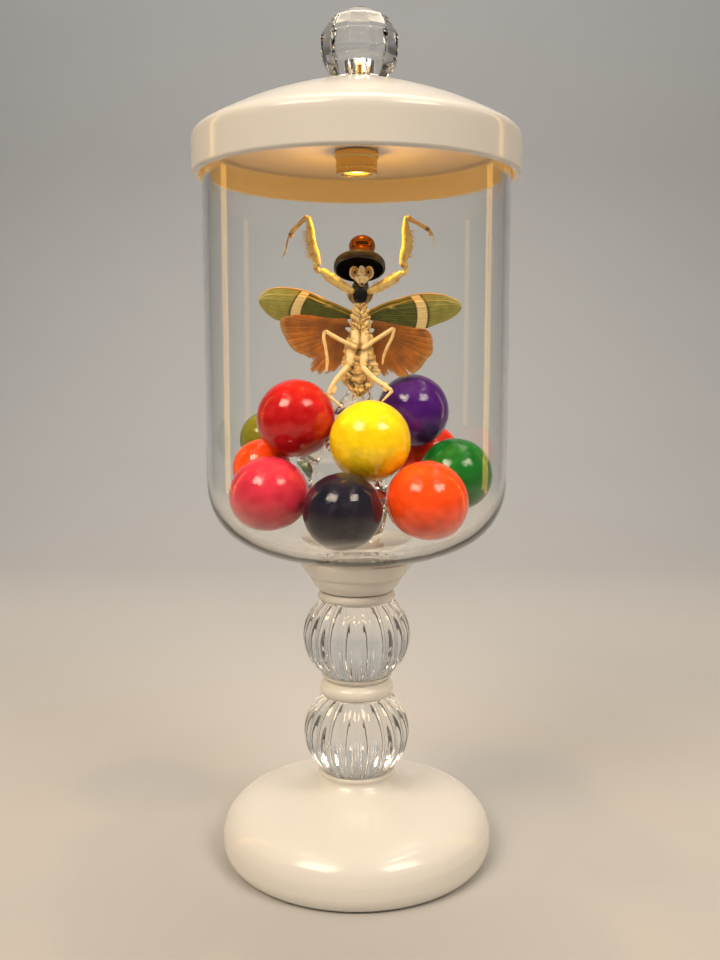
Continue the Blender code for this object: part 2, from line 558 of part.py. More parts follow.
def main():
    clear_scene()
    white = make_material("white_glaze", (0.86, 0.83, 0.77), 0.12)
    clear = make_material("clear_crystal", (0.97, 0.97, 0.97), 0.02, transmission=1.0, ior=1.52)
    glass = make_material("jar_glass", (0.97, 0.98, 0.98), 0.01, transmission=1.0, ior=1.5)
    steel = make_material("lamp_metal", (0.75, 0.72, 0.66), 0.3, metallic=0.9)
    lens = make_material("lamp_lens", (1.0, 0.78, 0.35), 0.2)
    brass = make_material("brass", (0.80, 0.56, 0.22), 0.25, metallic=1.0)
    dry = make_material("dried_insect", (0.55, 0.40, 0.20), 0.6)
    felt = make_material("black_lacquer", (0.012, 0.010, 0.010), 0.35)
    copper = make_material("copper", (0.80, 0.36, 0.16), 0.18, metallic=1.0)

    build_stand(white, clear)
    build_jar(glass)
    build_lid(white, steel, lens, clear, brass)
    build_balls()
    build_support(clear)
    build_mantis(dry)
    build_hat(felt, copper)


main()
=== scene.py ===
import math

import bmesh
import bpy
import numpy as np
from bpy.props import FloatProperty, FloatVectorProperty, IntProperty, PointerProperty
from mathutils import Matrix, Vector


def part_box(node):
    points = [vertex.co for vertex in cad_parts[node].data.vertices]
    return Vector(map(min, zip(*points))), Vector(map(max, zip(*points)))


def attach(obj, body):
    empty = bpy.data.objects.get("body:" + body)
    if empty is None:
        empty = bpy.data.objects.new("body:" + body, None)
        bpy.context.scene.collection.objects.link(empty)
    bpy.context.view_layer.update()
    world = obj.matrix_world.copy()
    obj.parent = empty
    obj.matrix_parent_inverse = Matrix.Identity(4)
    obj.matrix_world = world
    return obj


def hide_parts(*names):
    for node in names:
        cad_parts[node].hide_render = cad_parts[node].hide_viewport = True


bl_info = {
    "name": "Mantis in a footed glass jar",
    "version": (1, 0, 0),
    "blender": (4, 5, 0),
    "location": "View3D > Sidebar > Mantis Jar",
    "description": "Builds a dried flower mantis over sweets in a footed glass jar with a lamp lid",
    "category": "Add Mesh",
}

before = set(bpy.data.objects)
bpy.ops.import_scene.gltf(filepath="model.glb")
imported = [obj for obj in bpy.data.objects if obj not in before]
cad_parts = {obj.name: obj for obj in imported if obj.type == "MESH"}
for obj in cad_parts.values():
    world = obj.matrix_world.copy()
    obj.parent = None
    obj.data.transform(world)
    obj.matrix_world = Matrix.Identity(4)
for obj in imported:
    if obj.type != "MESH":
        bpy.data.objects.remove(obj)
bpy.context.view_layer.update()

MM = 0.001
ROOT = "root"
SIDES = 128
INSECT_AT = np.array([1.4, 0.0, 221.5])


# Small tools for numbers and meshes

def linear(code):
    """An sRGB hex colour as linear red, green and blue."""
    values = np.array([int(code[i:i + 2], 16) for i in (1, 3, 5)]) / 255.0
    return tuple(float(v) for v in np.where(values <= 0.04045, values / 12.92,
                                            ((values + 0.055) / 1.055) ** 2.4))


def through(points, count):
    """A smooth line through the points: Hermite cubics whose slope is half the step between neighbours."""
    points = np.asarray(points, float)
    place = np.linspace(0.0, len(points) - 1.0, count)
    i = np.minimum(place.astype(int), len(points) - 2)
    f = (place - i)[:, None]
    slopes = np.gradient(points, axis=0)
    start = (2 * f ** 3 - 3 * f ** 2 + 1) * points[i] + (f ** 3 - 2 * f ** 2 + f) * slopes[i]
    return start + (3 * f ** 2 - 2 * f ** 3) * points[i + 1] + (f ** 3 - f ** 2) * slopes[i + 1]


def arc(centre, radii, start, end, count):
    """Points of an ellipse's arc in the profile plane: centre plus radii times cosine and sine."""
    a = np.radians(np.linspace(start, end, count))
    return np.stack([centre[0] + radii[0] * np.cos(a), centre[1] + radii[1] * np.sin(a)], 1)


def softened(points, cut, count=6):
    """A polyline whose inner corners are quadratic curves that start and end `cut` away from the corner."""
    points = np.asarray(points, float)
    corner, before, after = points[1:-1], points[:-2], points[2:]
    back, ahead = before - corner, after - corner
    far_back, far_ahead = np.linalg.norm(back, axis=1), np.linalg.norm(ahead, axis=1)
    a = corner + back * np.minimum(cut / far_back, 0.48)[:, None]
    b = corner + ahead * np.minimum(cut / far_ahead, 0.48)[:, None]
    t = np.linspace(0.0, 1.0, count)[None, :, None]
    curves = (1 - t) ** 2 * a[:, None] + 2 * t * (1 - t) * corner[:, None] + t ** 2 * b[:, None]
    return np.vstack([points[:1], curves.reshape(-1, 2), points[-1:]])


def patch(points, wrap=False, uv=None, **marks):
    """Quads over rows and columns of points; wrap joins the last column to the first."""
    rows, cols = points.shape[:2]
    i = np.arange(rows - 1)[:, None]
    j = np.arange(cols if wrap else cols - 1)[None, :]
    k = (j + 1) % cols
    quads = np.stack(np.broadcast_arrays(i * cols + j, i * cols + k, (i + 1) * cols + k, (i + 1) * cols + j),
                     -1)
    flat = {name: np.broadcast_to(value, (rows, cols)).reshape(-1) for name, value in marks.items()}
    uv = np.zeros((rows * cols, 2)) if uv is None else np.broadcast_to(uv, (rows, cols, 2)).reshape(-1, 2)
    return {"points": points.reshape(-1, 3), "quads": quads.reshape(-1, 4), "uv": uv, "marks": flat}


def turned(profile, sides=SIDES):
    """A profile of radius and height carried round Z: x and y are the radius times cosine and sine."""
    a = np.arange(sides) * math.tau / sides
    r, z = profile[:, :1], profile[:, 1:2]
    return np.stack([r * np.cos(a), r * np.sin(a), np.broadcast_to(z, (len(profile), sides))], -1)


def solid_ellipsoid(centre, radii, rows=25, cols=36, pole=(0.0, 0.0, 1.0), **marks):
    """A sphere in latitude and longitude, stretched by three radii, with its pole turned to a direction."""
    polar = np.linspace(0.0, math.pi, rows)[:, None]
    round_ = np.arange(cols)[None, :] * math.tau / cols
    unit = np.stack([np.sin(polar) * np.cos(round_), np.sin(polar) * np.sin(round_),
                     np.broadcast_to(np.cos(polar), (rows, cols))], -1)
    turn = np.array(Vector((0, 0, 1)).rotation_difference(Vector(pole)).to_matrix())
    shape = (unit @ turn.T) * np.asarray(radii) + np.asarray(centre)
    uv = np.stack(np.broadcast_arrays(round_ / math.tau, polar / math.pi), -1)
    return patch(shape, wrap=True, uv=uv, **marks)


def tube(stations, count=40, sides=16, swelling=None, **marks):
    """A limb: an ellipse of two radii carried along a smooth path, closed by round ends.

    Each station is x, y, z, the radius across the path in the picture plane and the radius in depth.
    Near an end the radii shrink by the root of one minus the square of the way left to the end.
    """
    line = through(stations, count)
    path, radii = line[:, :3], line[:, 3:5]
    step = np.linalg.norm(np.diff(path, axis=0), axis=1)
    way = np.concatenate([[0.0], np.cumsum(step)])
    for end, left in ((0, way), (-1, way[-1] - way)):
        near = np.clip(left / radii[end].max(), 0.0, 1.0)
        radii = radii * np.sqrt(1.0 - (1.0 - near) ** 2)[:, None]
    along = np.gradient(path, axis=0)
    along /= np.linalg.norm(along, axis=1)[:, None]
    side = np.cross(along, (0.0, 1.0, 0.0))
    side /= np.linalg.norm(side, axis=1)[:, None]
    front = np.cross(side, along)
    a = np.arange(sides) * math.tau / sides
    swell = 1.0 if swelling is None else 1.0 + swelling(way[:, None] / way[-1], a[None, :])
    across = (radii[:, :1] * np.cos(a) * swell)[..., None] * side[:, None]
    deep = (radii[:, 1:] * np.sin(a) * swell)[..., None] * front[:, None]
    shade = np.broadcast_to(way[:, None] / way[-1], (count, sides))
    uv = np.stack([np.broadcast_to(a / math.tau, (count, sides)), shade], -1)
    return patch(path[:, None] + across + deep, wrap=True, uv=uv, **marks)


def thorns(roots, tips, radius, **marks):
    """Many small cones at once: five points round each root that shrink to its tip in three rings."""
    roots, tips = np.asarray(roots, float), np.asarray(tips, float)
    along = tips - roots
    side = np.cross(along, (0.0, 1.0, 0.0))
    side /= np.maximum(np.linalg.norm(side, axis=1), 1e-9)[:, None]
    a = np.arange(5) * math.tau / 5
    ring = np.cos(a)[None, :, None] * side[:, None] + np.sin(a)[None, :, None] * np.array([0.0, 1.0, 0.0])
    share = np.array([-0.25, 0.45, 1.0])
    size = np.array([1.0, 0.55, 0.0]) * radius
    points = (roots[:, None, None] + share[None, :, None, None] * along[:, None, None]
              + size[None, :, None, None] * ring[:, None])
    shape = {"points": points.reshape(-1, 3)}
    n = np.arange(len(roots))[:, None, None] * 15
    i, j = np.arange(2)[None, :, None] * 5, np.arange(5)[None, None, :]
    k = (j + 1) % 5
    quads = np.stack(np.broadcast_arrays(n + i + j, n + i + k, n + i + 5 + k, n + i + 5 + j), -1)
    shape["quads"] = quads.reshape(-1, 4)
    uv = np.stack(np.broadcast_arrays(0.5, share[None, :, None] * np.ones((len(roots), 3, 5))), -1)
    shape["uv"] = uv.reshape(-1, 2)
    flat = {name: np.full(len(shape["points"]), value) for name, value in marks.items()}
    flat["spine"] = np.broadcast_to(np.clip(share, 0, 1)[None, :, None], (len(roots), 3, 5)).reshape(-1)
    shape["marks"] = flat
    return shape


def make_piece(name, patches, materials, nodes, smooth=True, move=(0.0, 0.0, 0.0), slots_of=None,
               sharp=40.0, wall=None, bevel=None):
    """Puts patches given in millimetres into one mesh in metres, finishes it and ties it to the frame.

    A wall gives an open sheet its thickness; without one, open ends are closed. A bevel softens facets.
    """
    points, quads, uvs, marks, index = [], [], [], {}, []
    names = {mark for shape in patches for mark in shape["marks"]}
    total = 0
    for number, shape in enumerate(patches):
        points.append(shape["points"] + np.asarray(move))
        quads.append(shape["quads"] + total)
        uvs.append(shape["uv"])
        index.append(np.full(len(shape["quads"]), slots_of[number] if slots_of else 0))
        for mark in names:
            marks.setdefault(mark, []).append(shape["marks"].get(mark, np.zeros(len(shape["points"]))))
        total += len(shape["points"])
    points, quads = np.vstack(points) * MM, np.vstack(quads)
    mesh = bpy.data.meshes.new(name)
    mesh.from_pydata(points.tolist(), [], quads.tolist())
    layer = mesh.uv_layers.new(name="UVMap")
    layer.data.foreach_set("uv", np.vstack(uvs)[quads.reshape(-1)].astype(np.float32).reshape(-1))
    for mark in names:
        attribute = mesh.attributes.new(mark, "FLOAT", "POINT")
        attribute.data.foreach_set("value", np.concatenate(marks[mark]).astype(np.float32))
    for material in materials:
        mesh.materials.append(material)
    mesh.polygons.foreach_set("material_index", np.concatenate(index).astype(np.int32))
    bm = bmesh.new()
    bm.from_mesh(mesh)
    bmesh.ops.remove_doubles(bm, verts=bm.verts, dist=0.0000005)
    if wall is None:
        bmesh.ops.holes_fill(bm, edges=[edge for edge in bm.edges if edge.is_boundary], sides=0)
    bmesh.ops.recalc_face_normals(bm, faces=bm.faces)
    bm.to_mesh(mesh)
    bm.free()
    if smooth:
        mesh.shade_smooth()
        mesh.set_sharp_from_angle(angle=math.radians(sharp))
    piece = bpy.data.objects.new(name, mesh)
    bpy.context.scene.collection.objects.link(piece)
    if wall is not None:
        solid = piece.modifiers.new("wall", "SOLIDIFY")
        solid.thickness = wall * MM
        solid.offset = 0.0
    if bevel is not None:
        edge = piece.modifiers.new("edge", "BEVEL")
        edge.width = bevel * MM
        edge.segments = 2
        edge.limit_method = "ANGLE"
        edge.angle_limit = math.radians(8.0)
    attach(piece, ROOT)
    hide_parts(*nodes)
    return piece


# Materials

COORDS, UV, SPLIT = "ShaderNodeTexCoord", "ShaderNodeUVMap", "ShaderNodeSeparateXYZ"
NOISE, WAVE, MARK = "ShaderNodeTexNoise", "ShaderNodeTexWave", "ShaderNodeAttribute"
MIX, RANGE, MATH, BUMP = "ShaderNodeMix", "ShaderNodeMapRange", "ShaderNodeMath", "ShaderNodeBump"
LENGTHS = "ShaderNodeVectorMath"


def add_node(tree, kind, values, out=0):
    """Adds a node and gives one output: values that are another node's output are linked, others are set."""
    node = tree.nodes.new(kind)
    for key, value in values.items():
        if isinstance(value, bpy.types.NodeSocket):
            tree.links.new(value, node.inputs[key])
        elif isinstance(key, str) and hasattr(node, key):
            setattr(node, key, value)
        else:
            socket = node.inputs[key]
            socket.default_value = (*value, 1.0) if socket.type == "RGBA" else value
    return node.outputs[out]


def new_material(name, **shader_values):
    """A material with its Principled shader's plain values set; gives material, tree and shader."""
    material = bpy.data.materials.new(name)
    material.use_nodes = True
    tree = material.node_tree
    shader = tree.nodes["Principled BSDF"]
    for key, value in shader_values.items():
        socket = shader.inputs[key.replace("_", " ")]
        socket.default_value = (*value, 1.0) if socket.type == "RGBA" else value
    return material, tree, shader


def per_mm(size):
    """Pattern scale on Object coordinates, in metres, for features of a size in millimetres."""
    return 1.0 / (size * MM)


def dimmed(colour, share):
    """A colour times a share, kept within one."""
    return tuple(min(c * share, 1.0) for c in colour)


def laid_over(tree, base, layers):
    """Lays patches of colour over a base.

    Each layer is the patches' size in millimetres, their detail, the noise where they start and where
    they are full, their share there and their colour.
    """
    coords = add_node(tree, COORDS, {}, "Object")
    for size, detail, start, full, share, colour in layers:
        value = add_node(tree, NOISE, {"Vector": coords, "Scale": per_mm(size), "Detail": detail})
        amount = add_node(tree, RANGE, {"Value": value, "From Min": start, "From Max": full,
                                        "To Max": share})
        base = add_node(tree, MIX, {"data_type": "RGBA", 0: amount, 6: base, 7: colour}, 2)
    return base


def painted(tree, base, spots):
    """Paints a base where a value says so: each spot is a value socket, its share and its colour."""
    for value, share, colour in spots:
        amount = add_node(tree, MATH, {"operation": "MULTIPLY", 0: value, 1: share})
        base = add_node(tree, MIX, {"data_type": "RGBA", 0: amount, 6: base, 7: colour}, 2)
    return base


def finished(tree, shader, base, depth, *heights):
    """Ties the colour to the shader and raises the surface by a depth in millimetres.

    The heights are sizes of noise in millimetres or value sockets, and are summed.
    """
    coords = add_node(tree, COORDS, {}, "Object")
    total = 0.0
    for height in heights:
        if not isinstance(height, bpy.types.NodeSocket):
            height = add_node(tree, NOISE, {"Vector": coords, "Scale": per_mm(height), "Detail": 2.0})
        total = add_node(tree, MATH, {"operation": "ADD", 0: total, 1: height})
    bump = add_node(tree, BUMP, {"Distance": depth * MM, "Height": total})
    tree.links.new(bump, shader.inputs["Normal"])
    if base is not None:
        tree.links.new(base, shader.inputs["Base Color"])


def white_glaze(colour):
    """Thick warm white glaze on ceramic: wet gloss over a faintly uneven, slightly creamy ground."""
    material, tree, shader = new_material("white_glaze", Roughness=0.16, IOR=1.52, Coat_Weight=0.6,
                                          Coat_Roughness=0.04)
    cream = tuple(c * k for c, k in zip(colour, (0.97, 0.93, 0.84)))
    base = laid_over(tree, colour, ((24.0, 3.0, 0.35, 0.7, 1.0, cream),
                                    (0.8, 1.0, 0.74, 0.8, 0.25, (0.25, 0.22, 0.18))))
    finished(tree, shader, base, 0.05, 5.0)
    return material


def clear_glass(name, tint, ior, wave, depth, painted_reflection_tint):
    """Polished clear glass: sharp see-through, slow ripples from pressing or blowing, reflections tinted
    warm with a painted reflection colour.
    """
    material, tree, shader = new_material(name, Base_Color=tint, Roughness=0.0, IOR=ior,
                                          Transmission_Weight=1.0,
                                          Specular_Tint=painted_reflection_tint)
    finished(tree, shader, None, depth, wave)
    return material


def turned_metal(name, colour, roughness, groove):
    """Lathe-turned metal: fine rings that stretch its highlights, dulled in smudges."""
    material, tree, shader = new_material(name, Base_Color=colour, Metallic=1.0)
    coords = add_node(tree, COORDS, {}, "Object")
    rings = add_node(tree, WAVE, {"bands_direction": "Z", "Vector": coords, "Scale": per_mm(groove) / 3.0,
                                  "Distortion": 0.6, "Detail": 1.0}, "Fac")
    value = add_node(tree, NOISE, {"Vector": coords, "Scale": per_mm(6.0), "Detail": 3.0})
    smudge = add_node(tree, RANGE, {"Value": value, "From Min": 0.3, "From Max": 0.8,
                                    "To Min": roughness * 0.8,
                                    "To Max": roughness * 1.4})
    tree.links.new(smudge, shader.inputs["Roughness"])
    finished(tree, shader, None, 0.003, rings)
    return material


def lamp_diffuser(colour, strength):
    """Frosted lens over a warm light: glows most at its middle."""
    material, tree, shader = new_material("lamp_diffuser", Base_Color=(0.9, 0.8, 0.6), Roughness=0.35,
                                          Emission_Color=colour)
    coords = add_node(tree, COORDS, {}, "Object")
    level = add_node(tree, LENGTHS, {"operation": "MULTIPLY", 0: coords, 1: (1.0, 1.0, 0.0)})
    off = add_node(tree, LENGTHS, {"operation": "LENGTH", 0: level}, "Value")
    glow = add_node(tree, RANGE, {"Value": off, "From Max": 5.6 * MM, "To Min": strength,
                                  "To Max": strength * 0.25})
    tree.links.new(glow, shader.inputs["Emission Strength"])
    return material


def candy_shell(name, colour):
    """Panned sugar shell: wet gloss, cloudy dye, pale specks and shallow dimples."""
    material, tree, shader = new_material(name, Roughness=0.1, IOR=1.45, Coat_Weight=0.25,
                                          Coat_Roughness=0.02)
    light = tuple(min(c * 1.12 + 0.012, 1.0) for c in colour)
    pale = tuple(min(c * 0.8 + 0.10, 1.0) for c in colour)
    base = laid_over(tree, dimmed(colour, 0.84), ((5.0, 4.0, 0.3, 0.75, 1.0, light),
                                                  (0.7, 2.0, 0.66, 0.75, 0.5, pale)))
    finished(tree, shader, base, 0.1, 9.0, 9.0, 1.6)
    return material


def dry_chitin(name, groove, ridge, stain, stain_share=0.5, rough=0.45, tip=(0.12, 0.05, 0.015)):
    """Dried insect skin: satin, with painted shade in its folds and painted highlight on its ridges,
    blotched, spines tipped dark.
    """
    material, tree, shader = new_material(name, Roughness=rough, IOR=1.55, Coat_Weight=0.15,
                                          Coat_Roughness=0.3)
    coords = add_node(tree, COORDS, {}, "Object")
    relief, spine, dark = (add_node(tree, MARK, {"attribute_name": mark}, "Fac") for mark in ("relief",
                                                                                              "spine",
                                                                                              "dark"))
    # The relief mark mixes the groove colour into the ridge colour: painted shade in the folds, painted
    # highlight on the ridges.
    grain = add_node(tree, NOISE, {"Vector": coords, "Scale": per_mm(0.9), "Detail": 3.0})
    shade = add_node(tree, MATH, {"operation": "MULTIPLY_ADD", 0: grain, 1: 0.5, 2: relief})
    shade = add_node(tree, RANGE, {"Value": shade, "From Min": 0.40, "From Max": 0.98})
    base = painted(tree, groove, ((shade, 1.0, ridge),))
    base = laid_over(tree, base, ((2.4, 4.0, 0.62 - 0.14 * stain_share, 0.72, 0.75, stain),
                                  (0.45, 2.0, 0.62, 0.68, 0.45, dimmed(stain, 0.35))))
    ends = add_node(tree, RANGE, {"Value": spine, "From Min": 0.6, "From Max": 1.1})
    # The dark mark paints near black: painted shade in the body's lowest gaps, and the dark joints and marks
    # of legs and mouth.
    base = painted(tree, base, ((ends, 1.0, tip), (dark, 1.0, (0.018, 0.010, 0.007))))
    finished(tree, shader, base, 0.12, 0.5, 1.4)
    return material


# Settings

def colour(name, description, code):
    """A colour setting with an sRGB hex default."""
    return FloatVectorProperty(name=name, description=description, subtype="COLOR", size=3, min=0.0, max=1.0,
                               default=linear(code))


def length(name, description, default, high=1.0):
    """A length setting with a default in metres."""
    return FloatProperty(name=name, description=description, unit="LENGTH", default=default, min=0.0,
                         max=high)


class MantisJarStand(bpy.types.PropertyGroup):
    """Sizes and colours of the turned stand, jar and lid"""
    glaze: colour("Glaze", "Colour of the white foot, rings, cup and lid", "#ece7de")
    glass: colour("Glass tint", "Tint of the clear glass", "#fdfdfb")
    flutes: IntProperty(name="Flutes", description="Flutes round each glass ball", default=24, min=6, max=40)
    flute_depth: length("Flute depth", "Depth of a valley between two flutes", 1.0 * MM, 3.0 * MM)
    jar_wall: length("Jar wall", "Thickness of the jar's glass", 2.8 * MM, 4.0 * MM)


class MantisJarSweets(bpy.types.PropertyGroup):
    """Colours of the balls"""
    red: colour("Red", "Colour of the red ball", "#b0080c")
    yellow: colour("Yellow", "Colour of the yellow ball", "#f0cc04")
    purple: colour("Purple", "Colour of the purple ball", "#420e70")
    olive: colour("Olive", "Colour of the olive ball", "#6c7012")
    orange: colour("Orange", "Colour of the two orange balls", "#f24600")
    pink: colour("Pink", "Colour of the pink ball", "#c62840")
    navy: colour("Navy", "Colour of the near-black blue ball", "#0b0c22")
    green: colour("Green", "Colour of the green ball", "#08661a")
    vermilion: colour("Vermilion", "Colour of the ball at the back", "#d82a0c")


class MantisJarInsect(bpy.types.PropertyGroup):
    """Colours and details of the insect and its cap"""
    wing: colour("Forewing", "Outer green of the forewings", "#989848")
    wing_dark: colour("Forewing inner", "Dark green inside the cream band", "#56621f")
    band: colour("Band", "Cream band across each forewing", "#f6e0a0")
    fan: colour("Hindwing", "Orange brown of the hindwings", "#a8640a")
    skin: colour("Skin", "Pale beige of the body", "#ffdd90")
    vein_pairs: IntProperty(name="Hindwing veins", description="Pleats across each hindwing", default=24,
                            min=8, max=48)
    wing_wall: length("Wing thickness", "Thickness of a wing's membrane", 0.22 * MM, 0.6 * MM)
    copper: colour("Crown", "Copper of the crown", "#a05e28")


class MantisJarStage(bpy.types.PropertyGroup):
    """Floor, lights and camera"""
    floor: colour("Floor", "Colour of the plain floor", "#c0bfbd")
    key: FloatProperty(name="Key light", description="Strength of the main soft light", unit="POWER",
                       default=2.4, min=0.0)
    lamp: FloatProperty(name="Lid lamp", description="Strength of the warm lamp under the lid", unit="POWER",
                        default=0.05, min=0.0)
    eye_height: length("Camera height", "Height of the camera above the table", 203.1 * MM)
    eye_distance: length("Camera distance", "Distance of the camera from the jar's axis", 402.5 * MM)
    eye_dip: FloatProperty(name="Camera dip", description="How far the camera looks down", subtype="ANGLE",
                           default=math.radians(6.71))


GROUPS = (("stand", MantisJarStand), ("sweets", MantisJarSweets), ("insect", MantisJarInsect),
          ("stage", MantisJarStage))


def settings(name):
    """The scene's own group of settings."""
    return getattr(bpy.context.scene, "mantis_jar_" + name)


def shared(name, make, *values):
    """A material that several pieces share is made once."""
    return bpy.data.materials.get(name) or make(*values)


# Stand, jar and lid

FOOT_DOME = (
    (55.7, 6.5), (55.6, 9.2), (55.1, 12.2), (53.2, 16.2), (49.0, 20.0), (42.0, 23.0), (32.0, 25.3),
    (24.5, 26.9), (19.6, 28.6), (16.6, 30.6), (15.3, 32.4), (15.4, 33.4), (15.9, 34.2), (15.9, 34.9),
    (15.5, 35.4), (15.15, 35.3), (14.75, 34.5),
)
CUP_SIDE = (
    (14.3, 110.75), (14.9, 110.95), (15.6, 111.6), (17.2, 113.1), (18.3, 114.7), (18.9, 116.2),
    (19.1, 117.1),
)
CUP_TOP = (
    (19.2, 117.3), (19.9, 117.5), (20.5, 118.1), (21.4, 119.3), (22.7, 121.2), (23.5, 122.9),
    (23.65, 123.5), (23.3, 123.9), (22.6, 123.95),
)


def fluted_ball(name, radius, centre, span, half_height, flutes, depth, glass):
    """A squashed ball of pressed glass.

    Radius times the cosine of latitude, less the depth times one minus the size of the cosine of
    half the flute angle: round ridges that meet in sharp valleys.
    """
    low, high = (math.asin((z - centre) / half_height) for z in span)
    latitude = np.linspace(low, high, 48)[:, None]
    a = np.arange(flutes * 10)[None, :] * math.tau / (flutes * 10)
    ridge = np.abs(np.cos(flutes * a / 2.0))
    r = (radius - depth * (1.0 - ridge)) * np.cos(latitude)
    z = np.broadcast_to(centre + half_height * np.sin(latitude), r.shape)
    wall = np.stack([r * np.cos(a), r * np.sin(a), z], -1)
    bottom, top = ([row * (s, s, 1.0) for s in (0.0, 0.5)] for row in (wall[:1], wall[-1:]))
    rows = np.concatenate([*bottom, wall, *top[::-1]])
    make_piece(name, [patch(rows, wrap=True)], [glass], [name], sharp=35.0)


class MANTISJAR_OT_stand(bpy.types.Operator):
    """Adds the foot, the two fluted glass balls, the rings between them and the cup"""
    bl_idname = "mantis_jar.stand"
    bl_label = "Stand"

    def execute(self, context):
        own = settings("stand")
        glaze = shared("white_glaze", white_glaze, tuple(own.glaze))
        crystal = shared("pressed_crystal", clear_glass, "pressed_crystal", tuple(own.glass), 1.52, 6.0,
                         0.06,
                         linear("#fff0d4"))
        foot = np.vstack([[(0.0, 0.0), (46.0, 0.0)], arc((51.0, 6.5), (4.7, 6.5), -90, 0, 14),
                          through(FOOT_DOME, 110)[1:], [(14.4, 34.4), (0.0, 34.4)]])
        make_piece("foot_glazed", [patch(turned(foot), wrap=True)], [glaze], ["foot"])

        middle = np.vstack([[(0.0, 66.9)], softened([(12.0, 66.9), (13.4, 66.9)], 0.2),
                            through([(13.4, 66.9), (14.7, 67.7), (15.2, 69.4), (15.0, 71.0), (14.1, 72.2),
                                     (12.9, 73.0), (12.6, 73.7), (13.2, 74.4), (14.3, 75.0), (14.4, 75.5),
                                     (14.0, 75.7)], 60), [(0.0, 75.7)]])
        make_piece("ring_between_balls", [patch(turned(middle), wrap=True)], [glaze], ["middle_ring"])
        upper = np.vstack([[(0.0, 106.8)], arc((14.2, 108.6), (1.75, 1.8), -90, 90, 22), [(0.0, 110.4)]])
        make_piece("ring_under_cup", [patch(turned(upper), wrap=True)], [glaze], ["upper_ring"])
        cup = np.vstack([[(0.0, 110.75)], through(CUP_SIDE, 30), through(CUP_TOP, 40),
                         [(17.0, 123.3), (0.0, 123.3)]])
        make_piece("cup_glazed", [patch(turned(cup), wrap=True)], [glaze], ["cup"])

        depth = own.flute_depth / MM
        fluted_ball("lower_glass_ball", 21.8, 51.0, (34.75, 66.55), 20.4, own.flutes, depth, crystal)
        fluted_ball("upper_glass_ball", 22.0, 91.9, (76.05, 106.45), 20.4, own.flutes, depth, crystal)
        return {"FINISHED"}


def jar_quarter(radius, bottom, height, count):
    """The superellipse that turns the bottom into the wall: both shares to the power 2.77 add up to one."""
    a = np.linspace(math.pi / 2, 0.0, count)
    power = 2.0 / 2.77
    reach = np.abs(np.cos(a)) ** power
    reach[0] = 0.0
    return np.stack([radius * reach, bottom + height * (1.0 - np.sin(a) ** power)], 1)


class MANTISJAR_OT_jar(bpy.types.Operator):
    """Adds the clear jar with its rounded thick bottom"""
    bl_idname = "mantis_jar.jar"
    bl_label = "Jar"

    def execute(self, context):
        own = settings("stand")
        wall = own.jar_wall / MM
        # Dark warm tint for the jar's reflections: painted reflection colour that warms and dims them.
        glass = shared("blown_glass", clear_glass, "blown_glass", tuple(own.glass), 1.5, 30.0, 0.05,
                       linear("#7a6444"))
        outer = jar_quarter(60.0, 123.65, 37.5, 60)
        inner = jar_quarter(60.0 - wall, 127.6, 33.5, 60)
        lip = softened([(60.0, 282.0), (60.0, 284.0), (60.0 - wall, 284.0), (60.0 - wall, 282.0)], 1.2)
        up = np.linspace(0.1, 1.0, 12)[:, None]
        rise = outer[-1] + up * (lip[0] - outer[-1])
        fall = inner[-1] + up * (lip[-1] - inner[-1])
        profile = np.vstack([outer, rise, lip, fall[::-1], inner[::-1]])
        jar = make_piece("jar_glass", [patch(turned(profile, 192), wrap=True)], [glass], ["jar"])
        jar.visible_shadow = False
        return {"FINISHED"}


LID_OUTSIDE = (
    (63.8, 275.6), (63.8, 280.0), (63.8, 285.0), (63.75, 287.2), (63.4, 288.9), (62.3, 290.4),
    (59.0, 292.5), (53.0, 295.6), (46.0, 298.9), (38.6, 301.9), (31.0, 304.6), (24.0, 306.9),
    (18.0, 308.7), (13.6, 309.9), (11.6, 310.5), (10.4, 310.7),
)


class MANTISJAR_OT_lid(bpy.types.Operator):
    """Adds the white lid and the lamp under it"""
    bl_idname = "mantis_jar.lid"
    bl_label = "Lid and lamp"

    def execute(self, context):
        own = settings("stand")
        glaze = shared("white_glaze", white_glaze, tuple(own.glaze))
        # The aluminium is tinted gold as a painted reflection of the lamp's warm light.
        metal = shared("satin_aluminium", turned_metal, "satin_aluminium", linear("#d8bd7e"), 0.3, 1.2)
        under = softened([(0.0, 284.6), (58.5, 284.6), (60.6, 284.0), (61.0, 282.6), (61.0, 274.6),
                          (61.4, 274.2), (63.2, 274.2), (63.8, 275.2), (63.8, 275.6)], 1.0)
        profile = np.vstack([under, through(LID_OUTSIDE, 90)[1:], [(0.0, 310.7)]])
        make_piece("lid_glazed", [patch(turned(profile, 160), wrap=True)], [glaze], ["lid"])

        housing = softened([(0.0, 279.3), (5.9, 279.3), (5.9, 276.6), (6.5, 275.6), (8.1, 275.6),
                            (8.1, 277.4),
                            (7.8, 277.7), (8.1, 278.0), (8.1, 281.6), (8.6, 282.2), (8.6, 284.3),
                            (0.0, 284.3)], 0.25)
        make_piece("lamp_housing_turned", [patch(turned(housing, 64), wrap=True)], [metal], ["lamp_housing"])
        lens = np.vstack([arc((0.0, 279.0), (5.6, 2.5), -90, -14, 16), [(5.6, 279.0), (0.0, 279.0)]])
        glow = shared("lamp_diffuser", lamp_diffuser, linear("#ffd27a"), 5.0)
        make_piece("lamp_lens_frosted", [patch(turned(lens, 48), wrap=True)], [glow], ["lamp_lens"])
        return {"FINISHED"}


KNOB_FACETS = (
    (0.0, 320.0), (3.8, 320.0), (3.8, 311.05), (10.6, 311.05), (15.0, 318.8), (15.5, 327.0), (11.3, 333.8),
    (2.8, 338.0), (0.0, 338.0),
)
KNOB_OFF = (1.2, 0.0, 0.0)
KNOB_SIDES = 12
KNOB_TURN = -106.6


